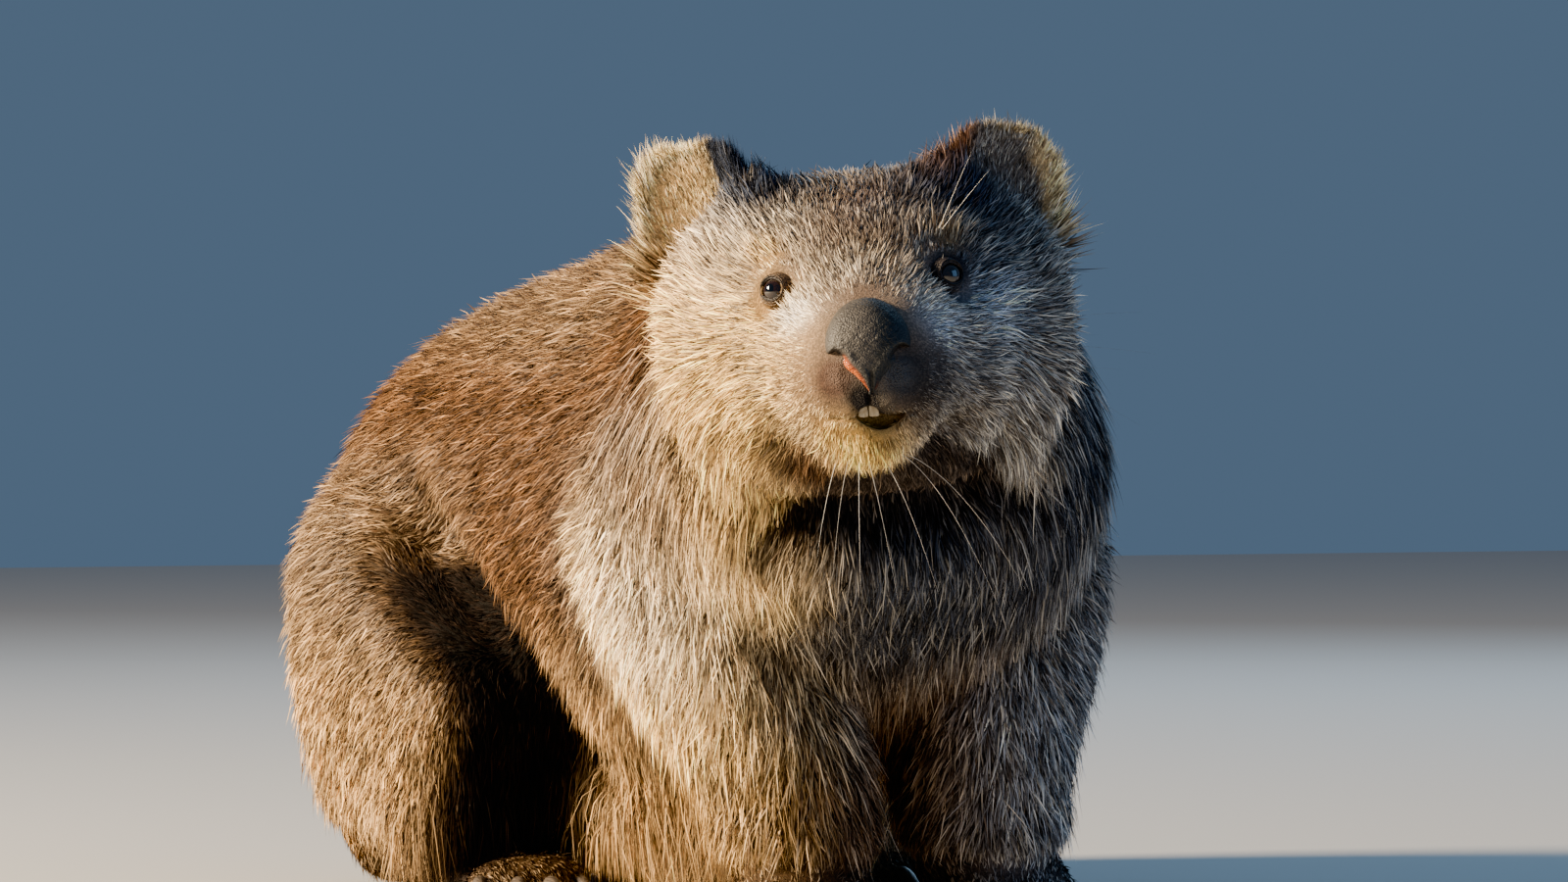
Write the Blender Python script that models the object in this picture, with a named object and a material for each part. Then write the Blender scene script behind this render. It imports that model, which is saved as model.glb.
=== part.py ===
"""A common wombat crouched on all fours, its head turned to its right, as a life-size still model.

Metres, +Z up. The rump points towards +Y and the head towards -Y, the animal's left is +X, and it
stands on z = 0. The shapes follow the outside of the coat. Each named object is one part of the
body, and parts that meet keep a small gap between their faces.
"""

import math
import random

import bmesh
import bpy
import numpy as np
from mathutils import Matrix, Vector
from mathutils.bvhtree import BVHTree

# Whole animal
CM = 0.01
GAP = 0.0003
WELD = 0.000002
SPINE_LENGTH = 0.815
HEAD_TURN = math.radians(-25)
TURN_START = 0.405
TURN_END = 0.625
RUMP_Y = 0.325
NECK_START = 0.56

# Head
NOSE_HEIGHT = 0.300
HEAD_ROLL = math.radians(-5)
HEAD_PITCH = math.radians(0)
EYE_RADIUS = 0.0078
EYE_ACROSS = 0.0445
EYE_ABOVE_NOSE = 0.030
LID_THICKNESS = 0.0013

# Colours of the coat and the bare parts
COAT_COLOUR = (0.40, 0.30, 0.21)
FACE_COLOUR = (0.46, 0.38, 0.30)
NOSE_COLOUR = (0.055, 0.052, 0.050)
EYE_COLOUR = (0.020, 0.014, 0.012)
TOOTH_COLOUR = (0.72, 0.64, 0.45)


def clear_scene():
    for old in list(bpy.data.objects):
        bpy.data.objects.remove(old)


def material(name, colour, roughness):
    made = bpy.data.materials.new(name)
    made.use_nodes = True
    shader = made.node_tree.nodes["Principled BSDF"]
    shader.inputs["Base Color"].default_value = (*colour, 1.0)
    shader.inputs["Roughness"].default_value = roughness
    shader.inputs["Metallic"].default_value = 0.0
    return made


def through(stations, values, at):
    """Values at the places `at`, on a smooth curve through the stations that never overshoots."""
    stations = np.asarray(stations, float)
    values = np.asarray(values, float)
    steps = np.diff(stations)
    rises = np.diff(values) / steps
    slopes = np.concatenate([rises[:1], (rises[:-1] + rises[1:]) / 2, rises[-1:]])
    turns = rises[:-1] * rises[1:] <= 0
    slopes[1:-1][turns] = 0
    at = np.clip(at, stations[0], stations[-1])
    k = np.clip(np.searchsorted(stations, at) - 1, 0, len(steps) - 1)
    t = (at - stations[k]) / steps[k]
    start = (1 + 2 * t) * (1 - t) ** 2 * values[k] + t * (1 - t) ** 2 * steps[k] * slopes[k]
    end = t**2 * (3 - 2 * t) * values[k + 1] + t**2 * (t - 1) * steps[k] * slopes[k + 1]
    return start + end


def columns(rows, count, first, last):
    """Rows of named sizes made into `count` evenly spaced ones from `first` to `last`."""
    table = np.array(rows, float)
    at = np.linspace(first, last, count)
    return [at] + [through(table[:, 0], table[:, c], at) for c in range(1, table.shape[1])]


def section(sides, half_width, up, down, top_power, base_power):
    """A closed outline: across, and up from its widest level, rounder or squarer above and below."""
    turn = np.arange(sides) * 2 * math.pi / sides
    across, rise = np.cos(turn), np.sin(turn)
    power = 2 / np.where(rise >= 0, top_power, base_power)
    x = half_width * np.sign(across) * np.abs(across) ** power
    z = np.where(rise >= 0, up, down) * np.sign(rise) * np.abs(rise) ** power
    return x, z


def new_object(name, mesh, finish=None):
    made = bpy.data.objects.new(name, mesh)
    bpy.context.scene.collection.objects.link(made)
    if finish:
        mesh.materials.append(finish)
    return made


def loft(name, rings, first_tip, last_tip, finish=None):
    """A closed body through a stack of rings with as many points each, and a point at each end."""
    body = bmesh.new()
    rows = [[body.verts.new(p) for p in ring] for ring in rings]
    sides = len(rows[0])
    for low, high in zip(rows, rows[1:]):
        for i in range(sides):
            j = (i + 1) % sides
            body.faces.new((low[i], low[j], high[j], high[i]))
    for row, tip in ((rows[0], first_tip), (rows[-1], last_tip)):
        point = body.verts.new(tip)
        for i in range(sides):
            body.faces.new((row[i], row[(i + 1) % sides], point))
    bmesh.ops.recalc_face_normals(body, faces=body.faces)
    mesh = bpy.data.meshes.new(name)
    body.to_mesh(mesh)
    body.free()
    mesh.shade_smooth()
    return new_object(name, mesh, finish)


def tube(name, path, radii, sides, flatness=1.0, face=(0, 0, 1), finish=None):
    """A body along a path that tapers as `radii` say, flattened along `face` by `flatness`."""
    path = np.asarray(path, float)
    ahead = np.gradient(path, axis=0)
    ahead /= np.linalg.norm(ahead, axis=1)[:, None]
    across = np.cross(ahead, np.asarray(face, float))
    across /= np.linalg.norm(across, axis=1)[:, None]
    upward = np.cross(across, ahead)
    turn = np.arange(sides) * 2 * math.pi / sides
    rings = [
        p + r * (np.cos(turn)[:, None] * a + flatness * np.sin(turn)[:, None] * u)
        for p, r, a, u in zip(path[1:-1], radii[1:-1], across[1:-1], upward[1:-1])
    ]
    return loft(name, rings, path[0], path[-1], finish)


def ball(name, centre, radii, sides=16, finish=None):
    body = bmesh.new()
    bmesh.ops.create_uvsphere(body, u_segments=sides, v_segments=max(6, sides // 2), radius=1)
    bmesh.ops.scale(body, vec=radii, verts=body.verts)
    bmesh.ops.translate(body, vec=centre, verts=body.verts)
    mesh = bpy.data.meshes.new(name)
    body.to_mesh(mesh)
    body.free()
    mesh.shade_smooth()
    return new_object(name, mesh, finish)


def apply_modifiers(body):
    """The body's mesh becomes what its modifiers make of it."""
    graph = bpy.context.evaluated_depsgraph_get()
    mesh = bpy.data.meshes.new_from_object(body.evaluated_get(graph))
    body.modifiers.clear()
    body.data = mesh


def keep_largest(body):
    """Joins points that a cut left almost on one another, and keeps only the largest closed surface."""
    mesh = bmesh.new()
    mesh.from_mesh(body.data)
    bmesh.ops.remove_doubles(mesh, verts=mesh.verts, dist=WELD)
    bmesh.ops.dissolve_degenerate(mesh, edges=mesh.edges, dist=WELD)
    bmesh.ops.triangulate(mesh, faces=mesh.faces)
    unseen = set(mesh.faces)
    shells = []
    while unseen:
        shell, edge = set(), [unseen.pop()]
        while edge:
            face = edge.pop()
            shell.add(face)
            near = {f for e in face.edges for f in e.link_faces} & unseen
            unseen -= near
            edge.extend(near)
        shells.append(shell)
    largest = max(shells, key=lambda shell: sum(f.calc_area() for f in shell))
    loose = [f for f in mesh.faces if f not in largest]
    bmesh.ops.delete(mesh, geom=loose, context="FACES")
    mesh.to_mesh(body.data)
    mesh.free()


def combine(body, others, operation, solver="EXACT"):
    """One Boolean of the body with all the others, which are then removed."""
    group = bpy.data.collections.new("others")
    bpy.context.scene.collection.children.link(group)
    for other in others:
        bpy.context.scene.collection.objects.unlink(other)
        group.objects.link(other)
    modifier = body.modifiers.new("combine", "BOOLEAN")
    modifier.operation = operation
    modifier.operand_type = "COLLECTION"
    modifier.collection = group
    modifier.solver = solver
    apply_modifiers(body)
    for other in others:
        bpy.data.objects.remove(other)
    bpy.data.collections.remove(group)
    keep_largest(body)


def grown(body, by=GAP):
    """A copy of the body with its surface moved out, to cut a neighbour clear of it."""
    copy = new_object(body.name + "_grown", body.data.copy())
    copy.matrix_world = body.matrix_world
    mesh = bmesh.new()
    mesh.from_mesh(copy.data)
    mesh.normal_update()
    for vertex in mesh.verts:
        vertex.co += vertex.normal * by
    mesh.to_mesh(copy.data)
    mesh.free()
    return copy


def slab(corner_low, corner_high, placed=Matrix.Identity(4)):
    """A box between two corners, used to keep or remove one side of a body."""
    low, high = Vector(corner_low), Vector(corner_high)
    body = bmesh.new()
    bmesh.ops.create_cube(body, size=1)
    bmesh.ops.scale(body, vec=high - low, verts=body.verts)
    bmesh.ops.translate(body, vec=(low + high) / 2, verts=body.verts)
    bmesh.ops.transform(body, matrix=placed, verts=body.verts)
    mesh = bpy.data.meshes.new("slab")
    body.to_mesh(mesh)
    body.free()
    return new_object("slab", mesh)


# Spine

def smooth_share(value):
    t = np.clip(value, 0, 1)
    return t * t * (3 - 2 * t)


def spine(distance):
    """Place on the ground plan and heading at distances from the rump: straight, then turning."""
    steps = np.linspace(0, SPINE_LENGTH, 600)
    heading = HEAD_TURN * smooth_share((steps - TURN_START) / (TURN_END - TURN_START))
    stride = steps[1] - steps[0]
    x = np.concatenate([[0], np.cumsum(np.sin(heading[:-1])) * stride])
    y = RUMP_Y - np.concatenate([[0], np.cumsum(np.cos(heading[:-1])) * stride])
    return (
        np.interp(distance, steps, x),
        np.interp(distance, steps, y),
        np.interp(distance, steps, heading),
    )


def spine_frame(distance):
    """Matrix at a place on the spine: x across, y back towards the rump, z up."""
    x, y, heading = (float(v) for v in spine(distance))
    return Matrix.Translation((x, y, 0)) @ Matrix.Rotation(heading, 4, "Z")


# Trunk. From the rump: distance, height of the widest level, half width, height above, depth below
TRUNK_ROWS = (
    (0.006, 0.196, 0.040, 0.049, 0.062),
    (0.020, 0.194, 0.070, 0.079, 0.098),
    (0.050, 0.190, 0.104, 0.111, 0.136),
    (0.095, 0.188, 0.130, 0.132, 0.156),
    (0.150, 0.188, 0.143, 0.146, 0.162),
    (0.230, 0.188, 0.149, 0.160, 0.162),
    (0.320, 0.192, 0.149, 0.172, 0.160),
    (0.410, 0.200, 0.145, 0.174, 0.156),
    (0.490, 0.212, 0.142, 0.169, 0.130),
    (0.555, 0.232, 0.133, 0.150, 0.106),
    (0.610, 0.250, 0.114, 0.126, 0.098),
    (0.670, 0.260, 0.085, 0.090, 0.080),
)
TRUNK_SIDES = 28
TRUNK_RINGS = 22
BACK_POWER = 1.85
BELLY_POWER = 1.95


def make_trunk(finish):
    """Torso and neck in one body, from the rump to inside the head."""
    first, last = TRUNK_ROWS[0][0], TRUNK_ROWS[-1][0]
    stations = columns(TRUNK_ROWS, TRUNK_RINGS, first, last)
    rings = []
    for distance, level, half_width, up, down in zip(*stations):
        x, z = section(TRUNK_SIDES, half_width, up, down, BACK_POWER, BELLY_POWER)
        frame = np.array(spine_frame(distance))
        rings.append(np.stack([x, 0 * x, z + level], 1) @ frame[:3, :3].T + frame[:3, 3])
    tips = [spine_frame(d) @ Vector((0, 0, level)) for d, level in ((0, 0.205), (last + 0.02, 0.262))]
    return loft("torso", rings, *tips, finish)


# Legs, as level sections from inside the body down into the foot:
# height, place across, place along, half width, half length
FORELEG_ROWS = (
    (0.020, 0.054, -0.196, 0.036, 0.038),
    (0.040, 0.055, -0.194, 0.043, 0.048),
    (0.070, 0.058, -0.187, 0.047, 0.055),
    (0.100, 0.064, -0.176, 0.054, 0.063),
    (0.140, 0.075, -0.162, 0.063, 0.071),
    (0.190, 0.086, -0.152, 0.064, 0.075),
    (0.235, 0.080, -0.150, 0.052, 0.062),
    (0.270, 0.066, -0.150, 0.030, 0.040),
)
HINDLEG_ROWS = (
    (0.008, 0.094, 0.137, 0.040, 0.068),
    (0.022, 0.097, 0.129, 0.048, 0.094),
    (0.045, 0.100, 0.122, 0.054, 0.117),
    (0.070, 0.103, 0.117, 0.058, 0.135),
    (0.100, 0.106, 0.113, 0.061, 0.148),
    (0.140, 0.109, 0.116, 0.062, 0.147),
    (0.180, 0.108, 0.129, 0.060, 0.131),
    (0.205, 0.102, 0.143, 0.054, 0.107),
    (0.228, 0.092, 0.158, 0.041, 0.078),
    (0.245, 0.081, 0.175, 0.026, 0.045),
)
LEG_SIDES = 16
LEG_RINGS = 9


def make_leg(name, rows, side, forward, leftward, finish):
    """A leg of level sections, on the side given by the sign, its foot set forward and to the left."""
    low, high = rows[0][0], rows[-1][0]
    stations = columns(rows, LEG_RINGS, low, high)
    turn = np.arange(LEG_SIDES) * 2 * math.pi / LEG_SIDES
    rings = []
    for height, across, along, half_width, half_length in zip(*stations):
        fade = 1 - smooth_share(height / high)
        ring = np.stack(
            [
                side * across + leftward * fade + half_width * np.cos(turn),
                along - forward * fade + half_length * np.sin(turn),
                np.full(LEG_SIDES, height),
            ],
            1,
        )
        rings.append(ring)
    tips = [ring.mean(0) + np.array([0, 0, step]) for ring, step in ((rings[0], -0.006), (rings[-1], 0.014))]
    return loft(name, rings, *tips, finish)


# Feet, as upright sections from the heel to the toes: place along, half width, height, roundness
FOREFOOT_ROWS = (
    (0.000, 0.022, 0.034, 2.2),
    (0.014, 0.032, 0.046, 2.3),
    (0.032, 0.037, 0.047, 2.4),
    (0.050, 0.038, 0.038, 2.5),
    (0.064, 0.035, 0.028, 2.5),
    (0.071, 0.030, 0.022, 2.4),
)
HINDFOOT_ROWS = (
    (0.000, 0.022, 0.028, 2.2),
    (0.022, 0.032, 0.044, 2.3),
    (0.048, 0.037, 0.048, 2.4),
    (0.074, 0.037, 0.040, 2.4),
    (0.096, 0.034, 0.028, 2.5),
    (0.106, 0.029, 0.022, 2.4),
)
FOOT_SIDES = 14
FOOT_RINGS = 6
TOE_SIZE = (0.0095, 0.0140, 0.0175)
CLAW_LENGTH = 0.022
CLAW_RADIUS = 0.0050
SOLE_LEVEL = 0.010


def make_foot(name, rows, toes, placed, finish):
    """A foot with a flat sole, its toes and its claws, pointing along -Y before it is placed."""
    stations = columns(rows, FOOT_RINGS, rows[0][0], rows[-1][0])
    rings = []
    for along, half_width, height, power in zip(*stations):
        x, z = section(FOOT_SIDES, half_width, height - SOLE_LEVEL, SOLE_LEVEL * 1.6, power, power)
        rings.append(np.stack([x, 0 * x - along, z + SOLE_LEVEL], 1))
    length = rows[-1][0]
    foot = loft(name, rings, (0, 0.006, SOLE_LEVEL), (0, -length - 0.004, SOLE_LEVEL), finish)
    pieces = []
    reach = rows[-2][1] * 0.78
    along = np.linspace(0, 1, 5)
    for toe in range(toes):
        share = 2 * toe / (toes - 1) - 1
        x = reach * share
        y = -length + 0.014 * share**2
        pieces.append(ball("toe", (x, y, 0.002), TOE_SIZE, 7))
        size = CLAW_LENGTH * (1 - 0.2 * share**2)
        path = np.stack(
            [
                x + 0.18 * share * size * along,
                y - TOE_SIZE[1] * 0.55 - size * along,
                0.0105 + 0.0040 * along - 0.0110 * along**2,
            ],
            1,
        )
        pieces.append(tube("claw", path, CLAW_RADIUS * (1.0 - 0.72 * along**1.6), 5, 1.15))
    combine(foot, pieces, "UNION")
    combine(foot, [slab((-1, -1, 0), (1, 1, 1))], "INTERSECT")
    foot.data.transform(placed)
    return foot


# Head, in its own frame: x across, y back from the front of the nose, z up from the nose's middle.
# Distance back, widest level, half width, height above, depth below, squareness of the crown
HEAD_ROWS_CM = (
    (0.3, -1.5, 1.60, 1.40, 2.00, 2.2),
    (0.9, -1.4, 2.60, 2.30, 2.90, 2.2),
    (1.8, -1.4, 3.50, 3.20, 3.80, 2.2),
    (3.0, -1.4, 4.40, 4.20, 4.50, 2.2),
    (4.5, -1.4, 5.40, 5.50, 5.10, 2.2),
    (6.0, -1.4, 6.50, 6.80, 5.60, 2.2),
    (7.5, -1.4, 7.70, 8.10, 6.10, 2.25),
    (9.5, -1.3, 9.40, 9.30, 6.70, 2.4),
    (11.5, -1.2, 10.60, 10.00, 7.10, 2.7),
    (13.5, -1.0, 11.00, 10.20, 7.30, 2.9),
    (15.5, -0.8, 10.70, 10.00, 7.30, 2.8),
    (17.5, -0.5, 9.90, 9.40, 7.00, 2.6),
    (19.5, 0.0, 8.50, 8.20, 6.10, 2.4),
    (21.0, 0.4, 6.70, 6.30, 4.90, 2.3),
    (22.0, 0.6, 4.60, 4.20, 3.60, 2.2),
)
HEAD_SIDES = 36
HEAD_RINGS = 24
JAW_POWER = 2.15

# Soft forms pushed out of (or into) the head: across, back, up, reach, height, all in centimetres
HEAD_FORMS_CM = (
    (4.5, 6.0, 3.0, 1.5, -0.35),
    (4.5, 7.4, 4.6, 1.7, 0.40),
    (2.2, 1.4, -2.4, 1.3, 0.35),
    (4.4, 4.2, -0.9, 1.3, -0.22),
    (5.4, 5.4, -2.4, 2.2, 0.30),
    (0.0, 1.0, -2.9, 0.45, -0.25),
    (0.0, 2.4, -5.2, 1.3, 0.30),
    (0.0, 9.5, 8.0, 2.6, -0.18),
)


def head_frame():
    x, y, heading = (float(v) for v in spine(SPINE_LENGTH))
    turned = Matrix.Rotation(heading, 4, "Z")
    return (
        Matrix.Translation((x, y, NOSE_HEIGHT))
        @ turned
        @ Matrix.Rotation(HEAD_PITCH, 4, "X")
        @ Matrix.Rotation(HEAD_ROLL, 4, "Y")
    )


def make_head(finish):
    """The head's outer form, before the mouth, eyes and ears are set in it."""
    rows = np.array(HEAD_ROWS_CM)
    rows[:, :5] *= CM
    share = np.linspace(0, 1, HEAD_RINGS)
    places = rows[0, 0] + (rows[-1, 0] - rows[0, 0]) * (0.62 * share + 0.38 * share**2)
    sizes = [through(rows[:, 0], rows[:, c], places) for c in range(1, 6)]
    rings = []
    for back, level, half_width, up, down, crown in zip(places, *sizes):
        x, z = section(HEAD_SIDES, half_width, up, down, crown, JAW_POWER)
        ring = np.stack([x, 0 * x + back, z + level], 1)
        middle = np.array([0, back + 0.6 * CM, level])
        for across, along, up_by, reach, height in np.array(HEAD_FORMS_CM) * CM:
            for side in (-1, 1) if across else (1,):
                apart = np.linalg.norm(ring - (side * across, along, up_by), axis=1)
                away = ring - middle
                away /= np.linalg.norm(away, axis=1)[:, None]
                ring = ring + away * (height * np.exp(-((apart / reach) ** 2)))[:, None]
        rings.append(ring)
    return loft("head", rings, (0, 0, rows[0, 1]), (0, rows[-1, 0] + 0.006, rows[-1, 1]), finish)


def surface_of(body):
    return BVHTree.FromObject(body, bpy.context.evaluated_depsgraph_get())


def make_eyes(head, finish):
    """Eyeballs sunk in the head, each under an upper and a lower lid that stay part of the head."""
    surface = surface_of(head)
    eyes, lids, openings = [], [], []
    for side, word in ((1, "left"), (-1, "right")):
        start = Vector((side * EYE_ACROSS, -0.1, EYE_ABOVE_NOSE))
        place, normal, _, _ = surface.ray_cast(start, Vector((0, 1, 0)))
        outward = (normal + Vector((side * 0.15, -0.25, 0))).normalized()
        centre = place - outward * EYE_RADIUS * 0.62
        lid_radius = EYE_RADIUS + LID_THICKNESS
        lids.append(ball("lid", centre, (lid_radius,) * 3, 18))
        eyes.append(ball("eye_" + word, centre, (EYE_RADIUS,) * 3, 16, finish))
        opening = ball("opening", (0, 0, 0), (EYE_RADIUS * 0.80, EYE_RADIUS * 0.66, EYE_RADIUS * 1.2), 14)
        aim = outward.to_track_quat("Z", "Y").to_matrix().to_4x4()
        opening.data.transform(Matrix.Translation(centre + outward * EYE_RADIUS * 0.95) @ aim)
        openings.append(opening)
    combine(head, lids, "UNION")
    combine(head, [grown(eye) for eye in eyes] + openings, "DIFFERENCE")
    return eyes


# Nose, as level sections: height, half width, front of the pad, back of the pad, in centimetres
NOSE_ROWS_CM = (
    (-2.75, 0.18, 0.30, 1.60),
    (-2.30, 0.55, 0.05, 1.60),
    (-1.70, 1.00, -0.18, 1.70),
    (-1.10, 1.62, -0.30, 1.80),
    (-0.60, 1.98, -0.36, 2.00),
    (-0.10, 2.10, -0.38, 2.20),
    (0.60, 1.98, -0.22, 2.50),
    (1.20, 1.66, 0.15, 2.80),
    (1.75, 1.15, 0.70, 3.00),
    (2.05, 0.60, 1.15, 3.00),
)
NOSE_SIDES = 24
NOSE_RINGS = 12
NOSTRIL_PATH_CM = (
    (2.70, 0.75, -1.12),
    (2.20, 0.20, -1.02),
    (1.72, -0.22, -1.02),
    (1.30, -0.34, -1.36),
    (0.90, -0.30, -1.86),
    (0.50, -0.12, -2.36),
)
NOSTRIL_RADII_CM = (0.05, 0.19, 0.31, 0.28, 0.18, 0.05)


def make_nostrils():
    """Two bent, tapering cutters: each opens at the pad's lower edge and runs down its slanting side."""
    nostrils = []
    for side in (-1, 1):
        path = np.array(NOSTRIL_PATH_CM) * CM * (side, 1, 1)
        nostrils.append(tube("nostril", path, np.array(NOSTRIL_RADII_CM) * CM, 8, 1.0, (0, 1, 0)))
    return nostrils


def make_nose(finish):
    rows = np.array(NOSE_ROWS_CM) * CM
    stations = columns(rows, NOSE_RINGS, rows[0, 0], rows[-1, 0])
    rings = []
    for height, half_width, front, back in zip(*stations):
        x, y = section(NOSE_SIDES, half_width, (back - front) / 2, (back - front) / 2, 2.3, 2.3)
        rings.append(np.stack([x, y + (front + back) / 2, 0 * x + height], 1))
    tips = [ring.mean(0) + np.array([0, 0, step]) for ring, step in ((rings[0], -0.001), (rings[-1], 0.001))]
    nose = loft("nose", rings, *tips, finish)
    combine(nose, make_nostrils(), "DIFFERENCE")
    return nose


# Mouth and teeth, in centimetres in the head's frame
# The opening before the teeth: across, back, up, and how far it opens above and below
MOUTH_ROWS_CM = (
    (-1.30, 1.6, -4.16, 0.10, 0.10),
    (-0.75, 1.2, -4.20, 0.35, 0.15),
    (-0.35, 1.0, -4.20, 0.85, 0.17),
    (0.35, 1.0, -4.20, 0.85, 0.17),
    (0.75, 1.2, -4.20, 0.35, 0.15),
    (1.30, 1.6, -4.16, 0.10, 0.10),
)
MOUTH_DEPTH_CM = 0.6
MOUTH_REACH_CM = 2.4
# The line of the lips on either side of it: reach, level, rise to its ends, half breadth
LIP_REACH = 0.029
LIP_LEVEL = -0.0420
LIP_RISE = 0.0065
LIP_RADIUS = 0.0011
TOOTH_SIZE_CM = (0.54, 0.28, 1.00)
TOOTH_TIP_CM = -4.02
TOOTH_BACK_CM = 0.98


def make_mouth_cutter():
    """A bent wedge along the line of the lips, taller in the middle where the teeth show."""
    rings = []
    for x, y, z, above, below in MOUTH_ROWS_CM:
        ahead = Vector((x * 0.25, -1.0, 0)).normalized()
        middle = Vector((x, y, z))
        outside, inside = middle + ahead * MOUTH_REACH_CM, middle - ahead * MOUTH_DEPTH_CM
        corners = (
            outside + Vector((0, 0, above)),
            outside - Vector((0, 0, below)),
            inside - Vector((0, 0, below * 0.5)),
            inside + Vector((0, 0, above * 0.8)),
        )
        rings.append([np.array(c) * CM for c in corners])
    tips = [np.mean(ring, axis=0) for ring in (rings[0], rings[-1])]
    return loft("mouth", rings, *tips)


def make_lip_line(head):
    """A groove in the face from one corner of the mouth to the other, rising towards its ends."""
    surface = surface_of(head)
    path = []
    for share in np.linspace(-1, 1, 17):
        start = Vector((LIP_REACH * share, -0.1, LIP_LEVEL + LIP_RISE * abs(share) ** 2.2))
        path.append(surface.ray_cast(start, Vector((0, 1, 0)))[0])
    radii = LIP_RADIUS * (1 - 0.6 * np.abs(np.linspace(-1, 1, 17)) ** 3)
    return tube("lips", path, radii, 6)


def make_incisors(finish):
    """The two upper front teeth, joined where their roots sit in the jaw."""
    wide, thick, tall = (v * CM for v in TOOTH_SIZE_CM)
    low = TOOTH_TIP_CM * CM
    back = TOOTH_BACK_CM * CM
    teeth = []
    for side in (-1, 1):
        tooth = slab((-wide / 2, -thick / 2, low), (wide / 2, thick / 2, low + tall))
        bevel = tooth.modifiers.new("worn corners", "BEVEL")
        bevel.width = 0.0006
        bevel.segments = 2
        apply_modifiers(tooth)
        tooth.data.transform(Matrix.Translation((side * (wide / 2 + 0.0002), back, 0)))
        teeth.append(tooth)
    root = slab((-wide, -thick / 2, low + tall * 0.62), (wide, thick * 0.9, low + tall * 1.05))
    root.data.transform(Matrix.Translation((0, back, 0)))
    root.name = "incisors"
    root.data.materials.append(finish)
    combine(root, teeth, "UNION")
    return root


# Ears: a dished, rounded triangle, in its own frame with the cup facing -Y and the tip along +Z
EAR_HALF_WIDTH = 0.034
EAR_HALF_HEIGHT = 0.051
EAR_THICKNESS = 0.0080
EAR_CUP_DEPTH = 0.016
EAR_TAPER = 0.03
EAR_POWER = 3.2
EAR_SIDES = 20
EAR_PLACE_CM = {"left": (7.5, 13.2, 5.2), "right": (7.8, 13.2, 5.9)}
EAR_LEAN_OUT = {"left": math.radians(9), "right": math.radians(8)}
EAR_TURN_OUT = math.radians(28)
EAR_LEAN_BACK = math.radians(-4)


def ear_place(word, side):
    across, back, up = (v * CM for v in EAR_PLACE_CM[word])
    return (
        Matrix.Translation((side * across, back, up))
        @ Matrix.Rotation(side * EAR_LEAN_OUT[word], 4, "Y")
        @ Matrix.Rotation(side * EAR_TURN_OUT, 4, "Z")
        @ Matrix.Rotation(EAR_LEAN_BACK, 4, "X")
    )


def make_ear(word, side, finish):
    x_rim, z_rim = section(EAR_SIDES, 1, 1, 1, EAR_POWER, EAR_POWER)

    def ring(share, out):
        x = EAR_HALF_WIDTH * share * x_rim * (1 - EAR_TAPER * z_rim * share)
        z = EAR_HALF_HEIGHT * share * z_rim
        y = EAR_CUP_DEPTH * (1 - share**2) + out * EAR_THICKNESS / 2 + 0 * x
        return np.stack([x, y, z], 1)

    shares = (0.35, 0.68, 0.91)
    rings = [ring(s, 1) for s in shares] + [ring(1.0, 0)] + [ring(s, -1) for s in shares[::-1]]
    tips = [(0, EAR_CUP_DEPTH + out * EAR_THICKNESS / 2, 0) for out in (1, -1)]
    ear = loft("ear_" + word, rings, *tips, finish)
    ear.data.transform(ear_place(word, side))
    return ear


# Tail
TAIL_ROOT = Vector((0, 0.300, 0.160))
TAIL_TIP = Vector((0, 0.334, 0.136))
TAIL_RADIUS = 0.014


def make_tail(finish):
    along = np.linspace(0, 1, 7)
    path = np.array([TAIL_ROOT.lerp(TAIL_TIP, t) for t in along])
    radii = TAIL_RADIUS * np.sqrt(np.clip(1.02 - along**2, 0, 1))
    return tube("tail", path, radii, 14, 1.0, (1, 0, 0), finish)


# Locks: the long hair of the ruff, chest and belly, as flat blades that taper and bend along the lie.
# Each station of the course has a share of the length, a share of the rise, and a depth
LOCK_COURSE = (
    (-0.10, 0.00, 0.0060),
    (0.00, 0.00, 0.0035),
    (0.34, 0.55, 0.0),
    (0.70, 1.00, 0.0),
    (1.00, 1.10, 0.0),
)
LOCK_BREADTHS = (0.0, 0.75, 1.00, 0.66, 0.0)
LOCK_FLATNESS = 0.16
LOCK_CLEARANCE = 0.0012
LOCK_FLOOR = 0.012
LOCK_TRIM = 0.8
LOCK_SEED = 11

# Length, breadth, rise, how closely the locks follow the skin, and how far they bend off a neighbour
RUFF_LOCK = (0.050, 0.0300, 0.0080, 0.65, 0.015)
CHEST_LOCK = (0.056, 0.0290, 0.0050, 0.75, 0.007)
BELLY_LOCK = (0.048, 0.0300, 0.0080, 0.60, 0.007)

# Rows of the ruff: distance back, first and last angle below the level of the cheeks, count
RUFF_ROWS = ((0.084, 54, 126, 5), (0.106, 14, 166, 10), (0.130, -8, 188, 13), (0.156, -14, 194, 13))
RUFF_REACH = (0.120, 0.090)
# Rows of the chest and the belly: distance from the rump, first and last angle below the side, count
CHEST_ROWS = ((0.655, 18, 162, 8), (0.632, 6, 174, 9), (0.608, 12, 168, 9), (0.584, 16, 164, 8))
BELLY_ROWS = (
    (0.250, 74, 90, 2),
    (0.295, 64, 82, 2),
    (0.340, 74, 90, 2),
    (0.380, 60, 80, 2),
    (0.420, 56, 74, 2),
)


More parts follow.
